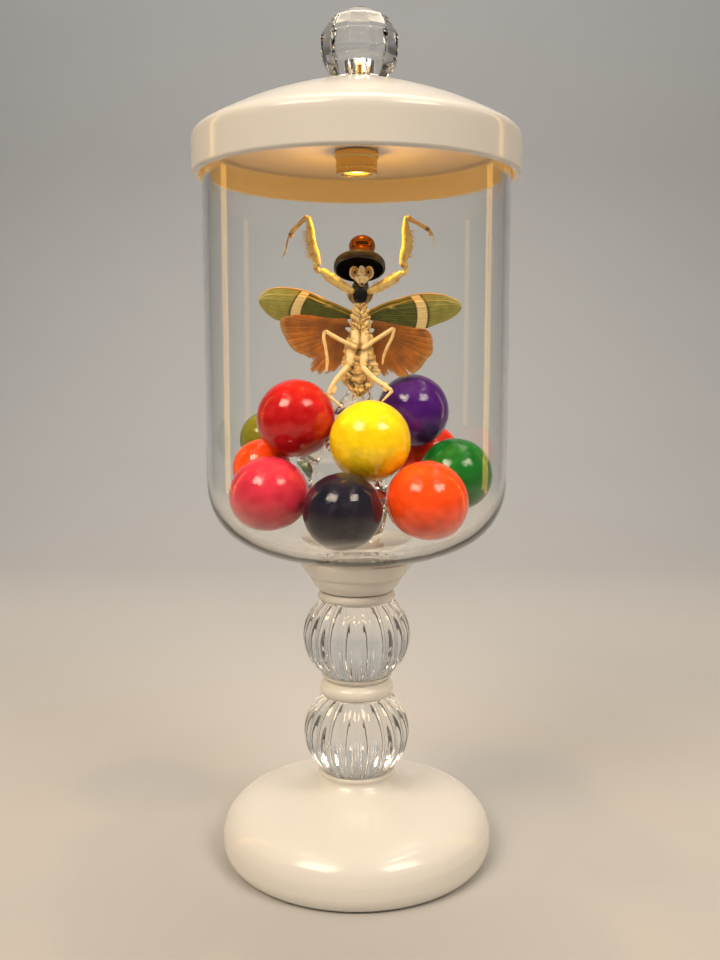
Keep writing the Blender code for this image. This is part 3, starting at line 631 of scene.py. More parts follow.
class MANTISJAR_OT_knob(bpy.types.Operator):
    """Adds the cut crystal knob and the brass socket in its base"""
    bl_idname = "mantis_jar.knob"
    bl_label = "Knob"

    def execute(self, context):
        own = settings("stand")
        crystal = shared("cut_crystal", clear_glass, "cut_crystal", tuple(own.glass), 1.6, 12.0, 0.01,
                         linear("#fff0d4"))
        brass = shared("polished_brass", turned_metal, "polished_brass", linear("#e2b45c"), 0.18, 0.9)
        rings = np.asarray(KNOB_FACETS)
        a = np.radians(KNOB_TURN) + math.tau * np.arange(KNOB_SIDES) / KNOB_SIDES
        facets = np.stack([rings[:, :1] * np.cos(a), rings[:, :1] * np.sin(a),
                           np.broadcast_to(rings[:, 1:], (len(rings), KNOB_SIDES))], -1)
        knob = make_piece("knob_cut", [patch(facets, wrap=True)], [crystal], ["knob"],
                          smooth=False, bevel=0.45, move=KNOB_OFF)
        knob.visible_shadow = False
        turns = np.linspace(0.0, 1.0, 60)
        screw = np.stack([3.2 - 0.22 * (0.5 - 0.5 * np.cos(math.tau * 7 * turns)), 311.1 + 6.4 * turns], 1)
        ferrule = np.vstack([[(0.0, 311.1)], screw, [(2.6, 318.3), (2.2, 319.2), (1.6, 319.4),
                                                     (0.0, 319.4)]])
        make_piece("knob_socket", [patch(turned(ferrule, 48), wrap=True)], [brass], ["knob_ferrule"],
                   move=KNOB_OFF)
        return {"FINISHED"}


# Balls and support

SWEETS = (
    ("ball_red", "red", "candy_red"), ("ball_yellow", "yellow", "candy_yellow"),
    ("ball_purple", "purple", "candy_purple"), ("ball_olive", "olive", "candy_olive"),
    ("ball_orange_left", "orange", "candy_orange"), ("ball_pink", "pink", "candy_pink"),
    ("ball_navy", "navy", "candy_navy"), ("ball_orange_right", "orange", "candy_orange"),
    ("ball_green", "green", "candy_green"), ("ball_vermilion", "vermilion", "candy_vermilion"),
)


class MANTISJAR_OT_sweets(bpy.types.Operator):
    """Adds the ten glossy balls, each a little out of round"""
    bl_idname = "mantis_jar.sweets"
    bl_label = "Balls"

    def execute(self, context):
        own = settings("sweets")
        for number, (node, colour, slot) in enumerate(SWEETS):
            low, high = (np.array(corner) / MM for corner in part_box(node))
            centre, radius = (low + high) / 2, (high - low)[2] / 2
            polar = np.linspace(0.0, math.pi, 49)[:, None]
            a = np.arange(96)[None, :] * math.tau / 96
            lump = 1.0 - 0.006 * (1 + np.sin(2 * polar + number) * np.cos(2 * a + 2.1 * number))
            r = radius * lump
            shape = np.stack([r * np.sin(polar) * np.cos(a), r * np.sin(polar) * np.sin(a),
                              r * np.cos(polar)], -1) + centre
            shell = shared("sugar_shell_" + colour, candy_shell, "sugar_shell_" + colour,
                           tuple(getattr(own, colour)))
            make_piece(node + "_sweet", [patch(shape, wrap=True)], [shell], [node])
        return {"FINISHED"}


# Height, centre x and y, radius
SUPPORT_LEVELS = (
    (129.0, -1.0, 4.0, 0.0), (129.0, -1.0, 4.0, 12.0), (146.0, -5.0, 13.0, 21.0),
    (163.0, -6.0, 13.0, 19.0), (178.0, -4.0, 13.5, 11.5), (190.0, 1.0, 9.6, 6.0), (199.0, 1.4, 7.8, 3.8),
    (199.0, 1.4, 7.8, 0.0),
)
SUPPORT_SIDES = 7
SUPPORT_TWIST = 0.35


class MANTISJAR_OT_support(bpy.types.Operator):
    """Adds the clear faceted block that carries the insect"""
    bl_idname = "mantis_jar.support"
    bl_label = "Support"

    def execute(self, context):
        own = settings("stand")
        crystal = shared("cast_acrylic", clear_glass, "cast_acrylic", tuple(own.glass), 1.49, 14.0, 0.05,
                         linear("#fff0d4"))
        levels = np.asarray(SUPPORT_LEVELS)
        turn = SUPPORT_TWIST * np.array([0, 0, 1, 2, 3, 4, 5, 5])
        a = math.tau * (np.arange(SUPPORT_SIDES)[None, :] + turn[:, None]) / SUPPORT_SIDES
        shape = np.stack([levels[:, 1:2] + levels[:, 3:] * np.cos(a),
                          levels[:, 2:3] + levels[:, 3:] * np.sin(a),
                          np.broadcast_to(levels[:, :1], a.shape)], -1)
        block = make_piece("support_clear", [patch(shape, wrap=True)], [crystal], ["support"],
                           smooth=False, bevel=0.5)
        block.visible_shadow = False
        return {"FINISHED"}


# Insect

# Stations of the body and the face: z, left and right edge, y, half depth
BODY_THORAX = (
    (4.9, -1.5, 1.6, -2.4, 1.3), (4.4, -2.3, 2.4, -2.6, 1.8), (3.0, -2.7, 2.9, -2.6, 2.2),
    (0.8, -3.3, 3.5, -2.5, 2.6), (-1.8, -3.7, 3.9, -2.4, 2.8), (-4.4, -3.7, 3.9, -2.2, 2.8),
    (-6.6, -3.5, 3.6, -1.8, 2.5), (-8.0, -2.6, 2.7, -1.5, 1.8),
)
BODY_ABDOMEN = (
    (-5.2, -3.4, 3.4, -0.6, 1.6), (-7.5, -4.6, 4.2, -0.8, 2.4), (-11.4, -5.4, 4.8, -0.8, 2.7),
    (-16.0, -6.5, 5.7, -0.7, 2.8), (-19.8, -7.4, 6.6, -0.6, 2.8), (-22.8, -7.4, 7.4, -0.5, 2.7),
    (-25.6, -6.9, 5.4, -0.4, 2.4), (-28.0, -5.2, 4.6, -0.4, 2.0), (-30.2, -3.4, 2.5, -0.3, 1.5),
    (-32.2, -1.5, 0.0, -0.3, 0.9),
)
BODY_PROTHORAX = (
    (13.2, -2.2, 2.8, -1.8, 0.9), (11.6, -2.9, 3.2, -2.2, 1.3), (9.6, -3.0, 3.1, -2.5, 1.7),
    (7.6, -2.9, 2.9, -2.5, 1.8), (6.0, -2.5, 2.7, -2.5, 1.8), (4.6, -1.5, 1.8, -2.6, 1.5),
)


def body_surface(stations, rows, cols, relief, depth, hollow):
    """Ellipses stacked along Z: left and right edge, place and depth in Y; relief pushes points out.

    The relief is a function of place x from -1 to 1 across, height z and whether a point faces the front;
    it also paints the skin, low places darker as painted shade and raised ones paler as painted highlight.
    Hollow sets how strongly painted shade blackens the lowest places.
    """
    line = through(stations, rows)
    z, left, right, y, deep = (line[:, i:i + 1] for i in range(5))
    a = np.arange(cols)[None, :] * math.tau / cols
    raised = relief(np.cos(a) * np.ones_like(z), z * np.ones_like(a), -np.sin(a) * np.ones_like(z))
    grow = 1.0 + depth * (raised - 0.5) / np.maximum(deep, 0.8)
    x = (left + right) / 2 + (right - left) / 2 * np.cos(a) * grow
    shape = np.stack([x, y + deep * np.sin(a) * grow, np.broadcast_to(z, x.shape)], -1)
    cap = [np.broadcast_to(shape[i].mean(0), (1, cols, 3)) for i in (0, -1)]
    whole = np.concatenate([cap[0], shape, cap[1]])
    shade = np.concatenate([raised[:1], raised, raised[-1:]])
    # dark is painted shade in the lowest places.
    return patch(whole, wrap=True, relief=shade, dark=hollow * np.clip(1.0 - 2.0 * shade, 0.0, 1.0))


def chevrons(x, z, front):
    """Folds like a loose braid: rounded ridges that climb from the middle, bent and spaced unevenly; the
    value also paints the folds darker as painted shade and the ridges paler as painted highlight.
    """
    bent = 0.35 * np.sin(1.3 * z + 2.0 * x) + 0.22 * np.sin(3.1 * z - 5.0 * x)
    phase = (z - 2.9 * np.abs(x + 0.05 * np.sin(2.0 * z)) + bent) / 2.05
    fold = np.abs(np.sin(math.pi * phase)) ** 0.55
    height = 0.75 + 0.25 * np.sin(2.3 * z + 4.0 * x)
    seam = np.clip(np.abs(x + 0.06 * np.sin(1.7 * z)) / 0.12, 0, 1)
    return np.where(front > -0.2, 0.20 + 0.85 * fold * seam * height, 0.5)


def plates(x, z, front):
    """Overlapping belly plates: each swells, then drops over a bowed edge; gaps part them in knobs, and the
    value paints gaps and pits dark as painted shade.
    """
    bow = 0.55 * x ** 2 + 0.10 * np.sin(7.0 * x + 0.8 * z) + 0.12 * np.sin(0.9 * z + 3.0 * x)
    place = ((-z - 5.2) / 4.4 + bow) % 1.0
    swell = np.clip(np.sin(math.pi * place ** 1.2), 0, 1) ** 0.5
    off = np.abs(x) - 0.48 - 0.09 * np.sin(1.9 * z)
    shaded_gaps = np.exp(-(off / 0.07) ** 2) * (0.35 + 0.65 * np.sin(1.3 * z) ** 2)
    pits = 0.5 + 0.5 * np.sin(1.7 * z + 6.5 * x) * np.sin(1.2 * z - 5.0 * x + 1.0)
    return np.clip((0.30 + 0.70 * swell) * (1.0 - 0.85 * shaded_gaps) * (0.52 + 0.40 * pits), 0.0, 1.0)


def smooth_shield(x, z, front):
    """A nearly even surface with a shallow groove down its middle."""
    return 0.75 - 0.35 * np.exp(-(x / 0.18) ** 2)


def at(points):
    """Stations for a tube from (x, z, half width, y, depth over width)."""
    return [(x, y, z, r, r * flat) for x, z, r, y, flat in points]


# Each limb's stations: x, z, half width, y, depth over width
LEGS_MIDDLE = {
    "left mid coxa": at((
        (-2.4, -5.6, 1.2, -3.4, 0.8), (-2.1, -8.2, 1.75, -4.2, 0.8), (-1.8, -10.4, 1.55, -4.8, 0.8),
        (-1.5, -12.4, 1.0, -5.2, 0.9),
    )),
    "right mid coxa": at((
        (2.2, -5.6, 1.2, -3.4, 0.8), (1.9, -8.2, 1.7, -4.2, 0.8), (1.6, -10.4, 1.5, -4.8, 0.8),
        (1.2, -12.4, 1.0, -5.2, 0.9),
    )),
    "left mid femur": at((
        (-0.9, -13.0, 0.9, -5.6, 0.9), (-2.2, -12.4, 1.0, -5.8, 0.9), (-6.0, -10.6, 0.95, -6.1, 0.9),
        (-10.3, -8.3, 0.85, -6.4, 0.9), (-12.9, -6.7, 0.8, -6.6, 0.9), (-13.9, -6.1, 0.8, -6.6, 0.9),
    )),
    "right mid femur": at((
        (0.4, -13.2, 0.9, -5.6, 0.9), (1.6, -12.6, 1.0, -5.8, 0.9), (4.9, -10.4, 0.95, -6.1, 0.9),
        (9.2, -7.6, 0.85, -6.4, 0.9), (12.3, -5.6, 0.8, -6.6, 0.9), (13.3, -5.0, 0.8, -6.6, 0.9),
    )),
    "left mid tibia": at((
        (-13.8, -5.9, 0.6, -6.6, 0.9), (-14.3, -8.6, 0.72, -6.3, 0.9), (-13.6, -12.6, 0.66, -5.8, 0.9),
        (-13.0, -17.4, 0.6, -5.0, 0.9), (-13.2, -20.4, 0.5, -4.4, 0.9), (-13.3, -22.5, 0.36, -4.1, 0.9),
    )),
    "right mid tibia": at((
        (13.4, -4.9, 0.6, -6.6, 0.9), (12.4, -8.8, 0.66, -6.3, 0.9), (10.5, -12.8, 0.62, -5.8, 0.9),
        (9.2, -16.2, 0.5, -4.9, 0.9), (8.8, -19.5, 0.3, -4.2, 0.9),
    )),
    "left hind coxa": at((
        (-3.0, -11.4, 1.2, -3.0, 0.8), (-3.7, -14.4, 1.9, -3.7, 0.75), (-3.9, -17.6, 1.6, -4.3, 0.75),
        (-4.2, -20.2, 1.0, -4.6, 0.8),
    )),
    "right hind coxa": at((
        (1.9, -12.4, 1.2, -3.2, 0.8), (1.7, -15.2, 1.75, -3.9, 0.75), (1.4, -18.2, 1.45, -4.4, 0.75),
        (1.0, -20.8, 0.95, -4.7, 0.8),
    )),
    "left hind femur": at((
        (-4.6, -19.2, 0.95, -4.8, 0.9), (-5.6, -20.9, 1.2, -4.9, 0.9), (-8.9, -24.5, 1.15, -5.0, 0.9),
        (-11.4, -28.4, 1.05, -5.1, 0.9), (-12.7, -31.4, 0.8, -5.1, 0.9),
    )),
    "left hind tibia": at((
        (-12.8, -30.8, 0.7, -5.1, 0.9), (-11.4, -32.4, 0.7, -5.2, 0.9), (-9.0, -34.4, 0.55, -5.3, 0.9),
        (-6.8, -36.3, 0.3, -5.4, 0.9),
    )),
    "right hind femur": at((
        (0.6, -19.8, 0.9, -4.8, 0.9), (1.8, -21.2, 1.15, -5.2, 0.9), (5.4, -24.6, 1.1, -6.2, 0.9),
        (9.3, -27.3, 0.95, -7.2, 0.9), (12.7, -29.6, 0.75, -8.0, 0.9),
    )),
    "right hind tibia": at((
        (12.9, -29.3, 0.65, -8.0, 0.9), (11.2, -31.0, 0.62, -8.1, 0.9), (9.6, -32.6, 0.45, -8.1, 0.9),
        (8.4, -33.8, 0.25, -8.0, 0.9),
    )),
}
LEGS_FORE = {
    "left fore coxa": at((
        (-2.4, 8.6, 0.9, -3.2, 0.9), (-4.2, 9.9, 1.5, -3.7, 0.75), (-6.7, 11.2, 1.8, -4.2, 0.7),
        (-9.6, 13.0, 1.9, -4.5, 0.7), (-12.6, 15.1, 1.75, -4.6, 0.7), (-14.6, 16.8, 1.4, -4.6, 0.8),
        (-15.6, 17.7, 0.95, -4.7, 0.9),
    )),
    "right fore coxa": at((
        (2.8, 8.6, 0.9, -3.2, 0.9), (4.4, 9.6, 1.4, -3.7, 0.75), (7.4, 10.8, 1.75, -4.2, 0.7),
        (11.2, 12.6, 1.75, -4.5, 0.7), (14.2, 14.7, 1.5, -4.6, 0.8), (15.8, 16.0, 1.25, -4.6, 0.8),
        (16.6, 16.8, 0.8, -4.7, 0.9),
    )),
    "left trochanter": at((
        (-15.4, 16.4, 0.8, -4.7, 0.9), (-16.8, 17.4, 1.1, -4.8, 0.9), (-17.5, 19.2, 1.05, -4.8, 0.9),
        (-17.4, 20.8, 0.8, -4.8, 0.9),
    )),
    "right trochanter": at((
        (16.2, 15.6, 0.8, -4.7, 0.9), (17.5, 16.6, 1.05, -4.8, 0.9), (17.9, 18.6, 1.0, -4.8, 0.9),
        (17.6, 20.2, 0.8, -4.8, 0.9),
    )),
    "left fore femur": at((
        (-16.3, 18.6, 0.8, -4.8, 0.8), (-16.9, 20.6, 1.4, -4.8, 0.7), (-17.7, 23.1, 1.95, -4.8, 0.65),
        (-18.5, 25.8, 1.95, -4.8, 0.65), (-19.1, 28.9, 1.75, -4.8, 0.65), (-19.3, 31.6, 1.55, -4.8, 0.7),
        (-19.6, 34.2, 1.25, -4.8, 0.8), (-20.0, 36.6, 1.0, -4.8, 0.9), (-20.2, 38.0, 0.8, -4.8, 0.9),
    )),
    "right fore femur": at((
        (16.6, 18.2, 0.8, -4.8, 0.8), (16.8, 20.4, 1.4, -4.8, 0.7), (17.3, 23.2, 1.9, -4.8, 0.65),
        (18.1, 26.2, 2.1, -4.8, 0.65), (18.3, 28.8, 2.0, -4.8, 0.65), (17.9, 31.4, 1.65, -4.8, 0.7),
        (17.7, 34.0, 1.3, -4.8, 0.8), (17.8, 36.4, 1.05, -4.8, 0.9), (18.0, 38.0, 0.8, -4.8, 0.9),
    )),
    "left fore tibia": at((
        (-20.0, 37.6, 0.85, -4.8, 0.9), (-21.6, 36.7, 0.92, -4.9, 0.9), (-24.2, 34.2, 0.78, -5.4, 0.9),
        (-26.4, 31.8, 0.85, -5.9, 0.9), (-27.6, 30.2, 0.55, -6.2, 0.9),
    )),
    "right fore tibia": at((
        (18.1, 37.8, 0.85, -4.8, 0.9), (19.8, 36.5, 0.9, -4.9, 0.9), (22.4, 35.1, 0.8, -5.3, 0.9),
        (24.8, 33.6, 0.84, -5.7, 0.9), (26.8, 32.2, 0.68, -6.0, 0.9), (27.8, 30.9, 0.4, -6.2, 0.9),
        (28.2, 29.8, 0.16, -6.2, 0.9),
    )),
    "left fore tarsus": at((
        (-27.4, 30.6, 0.45, -6.2, 0.9), (-28.3, 27.9, 0.38, -6.2, 0.9), (-28.7, 25.3, 0.34, -6.2, 0.9),
        (-29.4, 23.3, 0.27, -6.1, 0.9), (-30.5, 21.8, 0.12, -6.0, 0.9),
    )),
    "right fore tarsus": at((
        (27.7, 31.2, 0.28, -6.3, 0.9), (28.4, 28.6, 0.16, -6.3, 0.9), (28.5, 26.6, 0.13, -6.3, 0.9),
        (28.7, 24.8, 0.08, -6.2, 0.9),
    )),
}


def rings_on_leg(way, a):
    """Slight swellings along a limb and a shallow crease, as where dried skin has shrunk."""
    crease = np.exp(-(np.sin(a + 0.4) / 0.3) ** 2)
    return 0.05 * np.sin(9.0 * way + 1.3) + 0.03 * np.sin(27.0 * way) - 0.05 * crease


def limb_light_and_joints(uv):
    """Marks of a limb: paler on the side that faces forward and darker behind, as painted light and shade,
    and darker in both ends' creases.
    """
    forward = 0.5 - 0.5 * np.cos(math.tau * (uv[:, 0] - 0.25))
    ends = np.exp(-(uv[:, 1] / 0.035) ** 2) + np.exp(-((1.0 - uv[:, 1]) / 0.035) ** 2)
    return {"relief": 0.45 + 0.6 * forward, "dark": 0.55 * np.clip(ends, 0, 1)}


def thorn_row(start, end, lean, count, length, y, seed):
    """Roots and tips of a row of spines from start to end in the picture plane, of uneven length."""
    share = (np.arange(count) + 0.5)[:, None] / count
    roots = np.asarray(start) + share * (np.asarray(end) - np.asarray(start))
    uneven = 0.75 + 0.5 * np.abs(np.sin(seed + 2.7 * np.arange(count)))[:, None]
    tips = roots + np.asarray(lean) * length * uneven
    depth = y + 0.25 * np.sin(seed + np.arange(count) * 1.9)[:, None]
    return (np.hstack([roots[:, :1], depth, roots[:, 1:]]),
            np.hstack([tips[:, :1], depth - 0.2, tips[:, 1:]]))


# Rows of spines: start and end (x, z), lean, number, length
THORNS = (
    ((-3.6, 11.0), (-13.6, 17.6), (-0.3, 0.95), 15, 1.0),
    ((-4.4, 8.4), (-14.4, 15.2), (0.3, -0.95), 15, 1.3),
    ((4.6, 11.2), (14.2, 16.4), (-0.3, 0.95), 14, 0.9), ((5.2, 8.4), (15.2, 13.8), (0.35, -0.95), 15, 1.3),
    ((-19.2, 21.4), (-20.9, 32.4), (-1.0, 0.1), 11, 2.1),
    ((-18.9, 22.4), (-20.6, 31.0), (-0.9, -0.4), 6, 1.5),
    ((19.0, 21.8), (19.6, 32.6), (1.0, 0.1), 11, 2.1), ((18.8, 23.0), (19.8, 31.0), (0.9, -0.4), 6, 1.5),
    ((-26.2, 30.9), (-27.2, 29.9), (0.7, -0.7), 3, 0.9), ((26.6, 31.2), (27.4, 30.7), (-0.3, -1.0), 3, 0.8),
)


class MANTISJAR_OT_insect_body(bpy.types.Operator):
    """Adds the insect's thorax with its folds, its black neck shield, black partly as painted shadow of the
    cap, and its plated belly
    """
    bl_idname = "mantis_jar.insect_body"
    bl_label = "Insect body"

    def execute(self, context):
        own = settings("insect")
        skin = shared("dry_chitin_pale", dry_chitin, "dry_chitin_pale", linear("#4a2c10"), tuple(own.skin),
                      linear("#9c6a2e"), 0.65)
        # The neck shield and neck are black: partly their own colour, partly painted shadow of the cap above
        # them.
        dark = shared("dry_chitin_black", dry_chitin, "dry_chitin_black", linear("#060506"),
                      linear("#141215"),
                      linear("#2a2626"), 0.2, 0.25)
        # Each surface's last number sets the painted shade in its lowest gaps.
        shapes = [body_surface(BODY_THORAX, 120, 96, chevrons, 0.9, 0.5),
                  body_surface(BODY_ABDOMEN, 240, 160, plates, 1.0, 0.85),
                  body_surface(BODY_PROTHORAX, 60, 64, smooth_shield, 0.3, 0.0)]
        index = [0, 0, 1]
        shapes += [tube(((0.1, -2.8, 10.6, 1.1, 1.0), (0.1, -3.2, 11.8, 1.0, 0.9),
                         (0.1, -3.8, 13.0, 0.9, 0.9)), 16, relief=0.5)]
        index += [1]
        for side in (-1, 1):
            flap = tube(((side * 2.6, -2.7, 9.9, 0.5, 0.35), (side * 3.8, -2.9, 8.6, 1.15, 0.45),
                         (side * 3.5, -3.0, 6.8, 1.2, 0.45), (side * 2.6, -3.0, 5.3, 0.75, 0.4),
                         (side * 1.0, -2.9, 4.4, 0.45, 0.35)), 30, relief=0.3)
            shapes.append(flap)
            index.append(0)
            tail = tube(((side * 1.1 - 0.9, -0.6, -30.6, 0.45, 0.4),
                         (side * 1.9 - 0.9, -0.8, -32.0, 0.4, 0.35),
                         (side * 2.2 - 0.9, -0.9, -33.4, 0.2, 0.2)), 14, sides=10, relief=0.5)
            shapes.append(tail)
            index.append(0)
            for number, z in enumerate((-9.6, -13.1, -16.8, -20.4, -23.7, -26.6)):
                reach = np.interp(-z, (6, 12, 20, 24, 28), (4.0, 4.7, 6.4, 6.3, 4.6)) - 0.35 * (number % 2)
                size = 0.95 + 0.22 * math.sin(2.3 * number + side)
                shapes.append(solid_ellipsoid((side * reach - 0.4, -1.3,
                                               z + 0.5 * math.sin(3.1 * number + side)),
                                              (1.1 * size, 0.8, 1.9 * size), 13, 18, relief=0.5 + 0.2 * size,
                                              dark=0.12 * (number % 3)))
                index.append(0)
        make_piece("mantis_body", shapes, [skin, dark], ["mantis"], move=INSECT_AT,
                   slots_of=index)
        return {"FINISHED"}


def eye_material():
    """Dried compound eye: amber glass over cream, with a dark false pupil and a darker ring round it."""
    material, tree, shader = new_material("compound_eye", Roughness=0.22, IOR=1.5, Coat_Weight=0.8,
                                          Coat_Roughness=0.08)
    polar = add_node(tree, SPLIT, {0: add_node(tree, UV, {"uv_map": "UVMap"})}, 1)
    rings = [add_node(tree, RANGE, {"Value": polar, "From Min": start, "From Max": full})
             for start, full in ((0.26, 0.44), (0.17, 0.20), (0.27, 0.22), (0.13, 0.08))]
    ring = add_node(tree, MATH, {"operation": "MULTIPLY", 0: rings[1], 1: rings[2]})
    base = painted(tree, linear("#d09c4c"), ((rings[0], 1.0, linear("#fce2a0")),
                                             (ring, 0.6, linear("#825420")),
                                             (rings[3], 1.0, linear("#4a2c14"))))
    finished(tree, shader, base, 0.03, 0.25)
    return material


HEAD_FACE = (
    (17.9, -1.6, 2.4, -3.6, 0.8), (17.2, -2.6, 3.4, -3.8, 1.4), (16.0, -3.3, 4.2, -4.1, 2.0),
    (15.0, -3.3, 4.4, -4.3, 2.2), (13.9, -2.6, 3.8, -4.5, 2.0), (12.9, -1.7, 2.9, -4.7, 1.6),
    (12.1, -0.9, 2.1, -4.8, 1.2), (11.4, -0.3, 1.5, -4.8, 0.9), (11.0, 0.0, 1.2, -4.8, 0.6),
)


def face_relief(x, z, front):
    """Plates of the face: a raised brow between the eyes, and two ridges that run down to the mouth; the
    value also paints the groove darker as painted shade and the brow and ridges paler as painted highlight.
    """
    brow = np.exp(-(x / 0.3) ** 2) * np.exp(-((z - 16.4) / 1.6) ** 2)
    cheek = np.exp(-((np.abs(x) - 0.55) / 0.2) ** 2) * np.exp(-((z - 13.8) / 1.2) ** 2)
    groove = np.exp(-((z - 14.6 - 1.2 * np.abs(x)) / 0.22) ** 2)
    return np.clip(0.45 + 0.4 * brow + 0.35 * cheek - 0.45 * groove, 0.0, 1.0)


class MANTISJAR_OT_insect_head(bpy.types.Operator):
    """Adds the insect's three-cornered head, eyes, brow plate and mouthparts"""
    bl_idname = "mantis_jar.insect_head"
    bl_label = "Insect head"

    def execute(self, context):
        own = settings("insect")
        face = shared("dry_chitin_face", dry_chitin, "dry_chitin_face", linear("#9c7034"), linear("#ffeebc"),
                      linear("#e6c07c"), 0.1)
        eye = shared("compound_eye", eye_material)
        shapes = [body_surface(HEAD_FACE, 80, 72, face_relief, 0.5, 0.0)]
        index = [0]
        for side, x in ((-1, -2.4), (1, 3.5)):
            pole = Vector((-side * 0.22, -1.0, -0.05)).normalized()
            shapes.append(solid_ellipsoid((x, -4.7, 16.4), (1.6, 1.9, 2.3), 33, 40, pole=pole, relief=0.8))
            index.append(1)
            rim = math.tau * np.arange(41) / 37
            loop = np.stack([x + 1.55 * np.cos(rim), np.full(41, -4.6), 16.4 + 2.25 * np.sin(rim),
                             np.full(41, 0.26), np.full(41, 0.3)], -1)
            shapes.append(tube(loop, 82, sides=8, relief=0.9))
            index.append(0)
        shapes.append(solid_ellipsoid((0.55, -6.0, 16.95), (1.1, 0.55, 1.7), 21, 30, relief=0.62))
        rim = math.tau * np.arange(37) / 33
        brow = np.stack([0.55 + 1.0 * np.cos(rim), np.full(37, -6.3), 16.95 + 1.6 * np.sin(rim),
                         np.full(37, 0.34), np.full(37, 0.32)], -1)
        shapes.append(tube(brow, 74, sides=8, relief=1.0))
        shapes.append(solid_ellipsoid((0.65, -6.1, 14.4), (1.7, 0.55, 0.75), 17, 26, relief=1.0))
        shapes.append(solid_ellipsoid((0.7, -6.1, 12.9), (0.95, 0.65, 0.85), 17, 26, relief=1.0))
        shapes.append(solid_ellipsoid((0.75, -6.0, 11.9), (0.6, 0.5, 0.5), 15, 20, relief=0.1, dark=0.9))
        index += [0, 0, 0, 0, 0]
        for side in (-1, 1):
            shapes.append(tube(((side * 2.4 + 0.6, -5.6, 14.2, 0.4, 0.35),
                                (side * 1.8 + 0.65, -6.0, 13.1, 0.36, 0.35),
                                (side * 1.0 + 0.7, -6.1, 12.1, 0.25, 0.25)), 16, sides=8, relief=0.9))
            index.append(0)
        make_piece("mantis_head", shapes, [face, eye], ["mantis"], move=INSECT_AT,
                   slots_of=index)
        return {"FINISHED"}


class MANTISJAR_OT_insect_legs(bpy.types.Operator):
    """Adds the six legs, the spines of the fore legs and the leaf-like lobes of the hind legs"""
    bl_idname = "mantis_jar.insect_legs"
    bl_label = "Insect legs"

    def execute(self, context):
        own = settings("insect")
        pale = shared("dry_chitin_leg", dry_chitin, "dry_chitin_leg", linear("#8a5f2a"), linear("#f8dc9c"),
                      linear("#b8803a"), 0.35, 0.45, linear("#c98e3c"))
        gold = shared("dry_chitin_gold", dry_chitin, "dry_chitin_gold", linear("#d09424"), linear("#ffe690"),
                      linear("#d08a20"), 0.6)
        amber = shared("dry_chitin_amber", dry_chitin, "dry_chitin_amber", linear("#a8702c"),
                       linear("#f6d692"),
                       linear("#9a5a1e"), 0.5)
        middle = [tube(stations, 46, 18, rings_on_leg) for stations in LEGS_MIDDLE.values()]
        for centre, radii in (((-10.6, -5.4, -29.0), (1.3, 0.4, 2.1)),
                              ((9.9, -7.4, -28.0), (1.2, 0.4, 1.9))):
            middle.append(solid_ellipsoid(centre, radii, 17, 22, relief=0.6))
        for shape in middle:
            shape["marks"].update(limb_light_and_joints(shape["uv"]))
        make_piece("mantis_walking_legs", middle, [pale], ["mantis"], move=INSECT_AT)

        fore, index = [], []
        for name, stations in LEGS_FORE.items():
            shape = tube(stations, 60, 24, rings_on_leg)
            shape["marks"].update(limb_light_and_joints(shape["uv"]))
            if "tibia" in name:
                off = shape["uv"][:, 1] - (0.72 if "right" in name else 0.95)
                shape["marks"]["dark"] = 0.8 * np.exp(-(off / 0.05) ** 2)
            fore.append(shape)
            index.append(2 if "tarsus" in name or "tibia" in name else 1)
        for number, (start, end, lean, count, length) in enumerate(THORNS):
            roots, tips = thorn_row(start, end, np.asarray(lean), count, length, -5.0, 1.0 + number)
            fore.append(thorns(roots, tips, 0.42, relief=0.9))
            index.append(0)
        make_piece("mantis_fore_legs", fore, [pale, gold, amber], ["mantis"], move=INSECT_AT,
                   slots_of=index)
        return {"FINISHED"}


# Leading and trailing edge of each forewing and the middle of its band, as (x, z)
FOREWING_EDGES = {
    -1: (((-1.6, 1.2), (-8.5, 4.2), (-14.0, 6.6), (-20.1, 9.3), (-25.1, 10.6), (-31.0, 11.2), (-35.0, 10.9),
          (-38.2, 9.6), (-40.2, 7.6), (-40.6, 6.0)),
         ((-1.6, -0.6), (-6.4, -1.6), (-14.4, -1.6), (-20.0, -1.2), (-24.4, -0.9), (-29.0, -1.4),
          (-33.0, -1.7), (-36.4, 0.2), (-39.4, 3.2), (-40.5, 5.6))),
    1: (((1.6, 1.2), (8.9, 4.7), (15.5, 6.8), (22.0, 8.5), (27.3, 8.9), (33.6, 8.3), (37.3, 7.0),
         (39.3, 6.0), (40.4, 4.7), (40.7, 3.5)),
        ((1.6, -0.6), (6.4, -2.4), (13.0, -3.4), (20.0, -4.6), (25.5, -5.1), (30.4, -3.4), (35.4, -1.5),
         (38.2, 0.1), (40.0, 1.9), (40.68, 3.3))),
}
BAND_LINES = {-1: ((-20.6, 10.4), (-22.6, 8.0), (-24.6, 4.8), (-25.7, 1.8), (-26.0, -1.8)),
              1: ((21.6, 8.0), (23.9, 5.0), (24.8, 1.6), (24.8, -2.0), (24.0, -5.4))}


def spaced(line, count):
    """Points at even steps of length along a smooth line through the given points."""
    fine = through(line, 400)
    way = np.concatenate([[0.0], np.cumsum(np.linalg.norm(np.diff(fine, axis=0), axis=1))])
    places = np.linspace(0.0, way[-1], count)
    return np.stack([np.interp(places, way, fine[:, i]) for i in range(fine.shape[1])], 1)


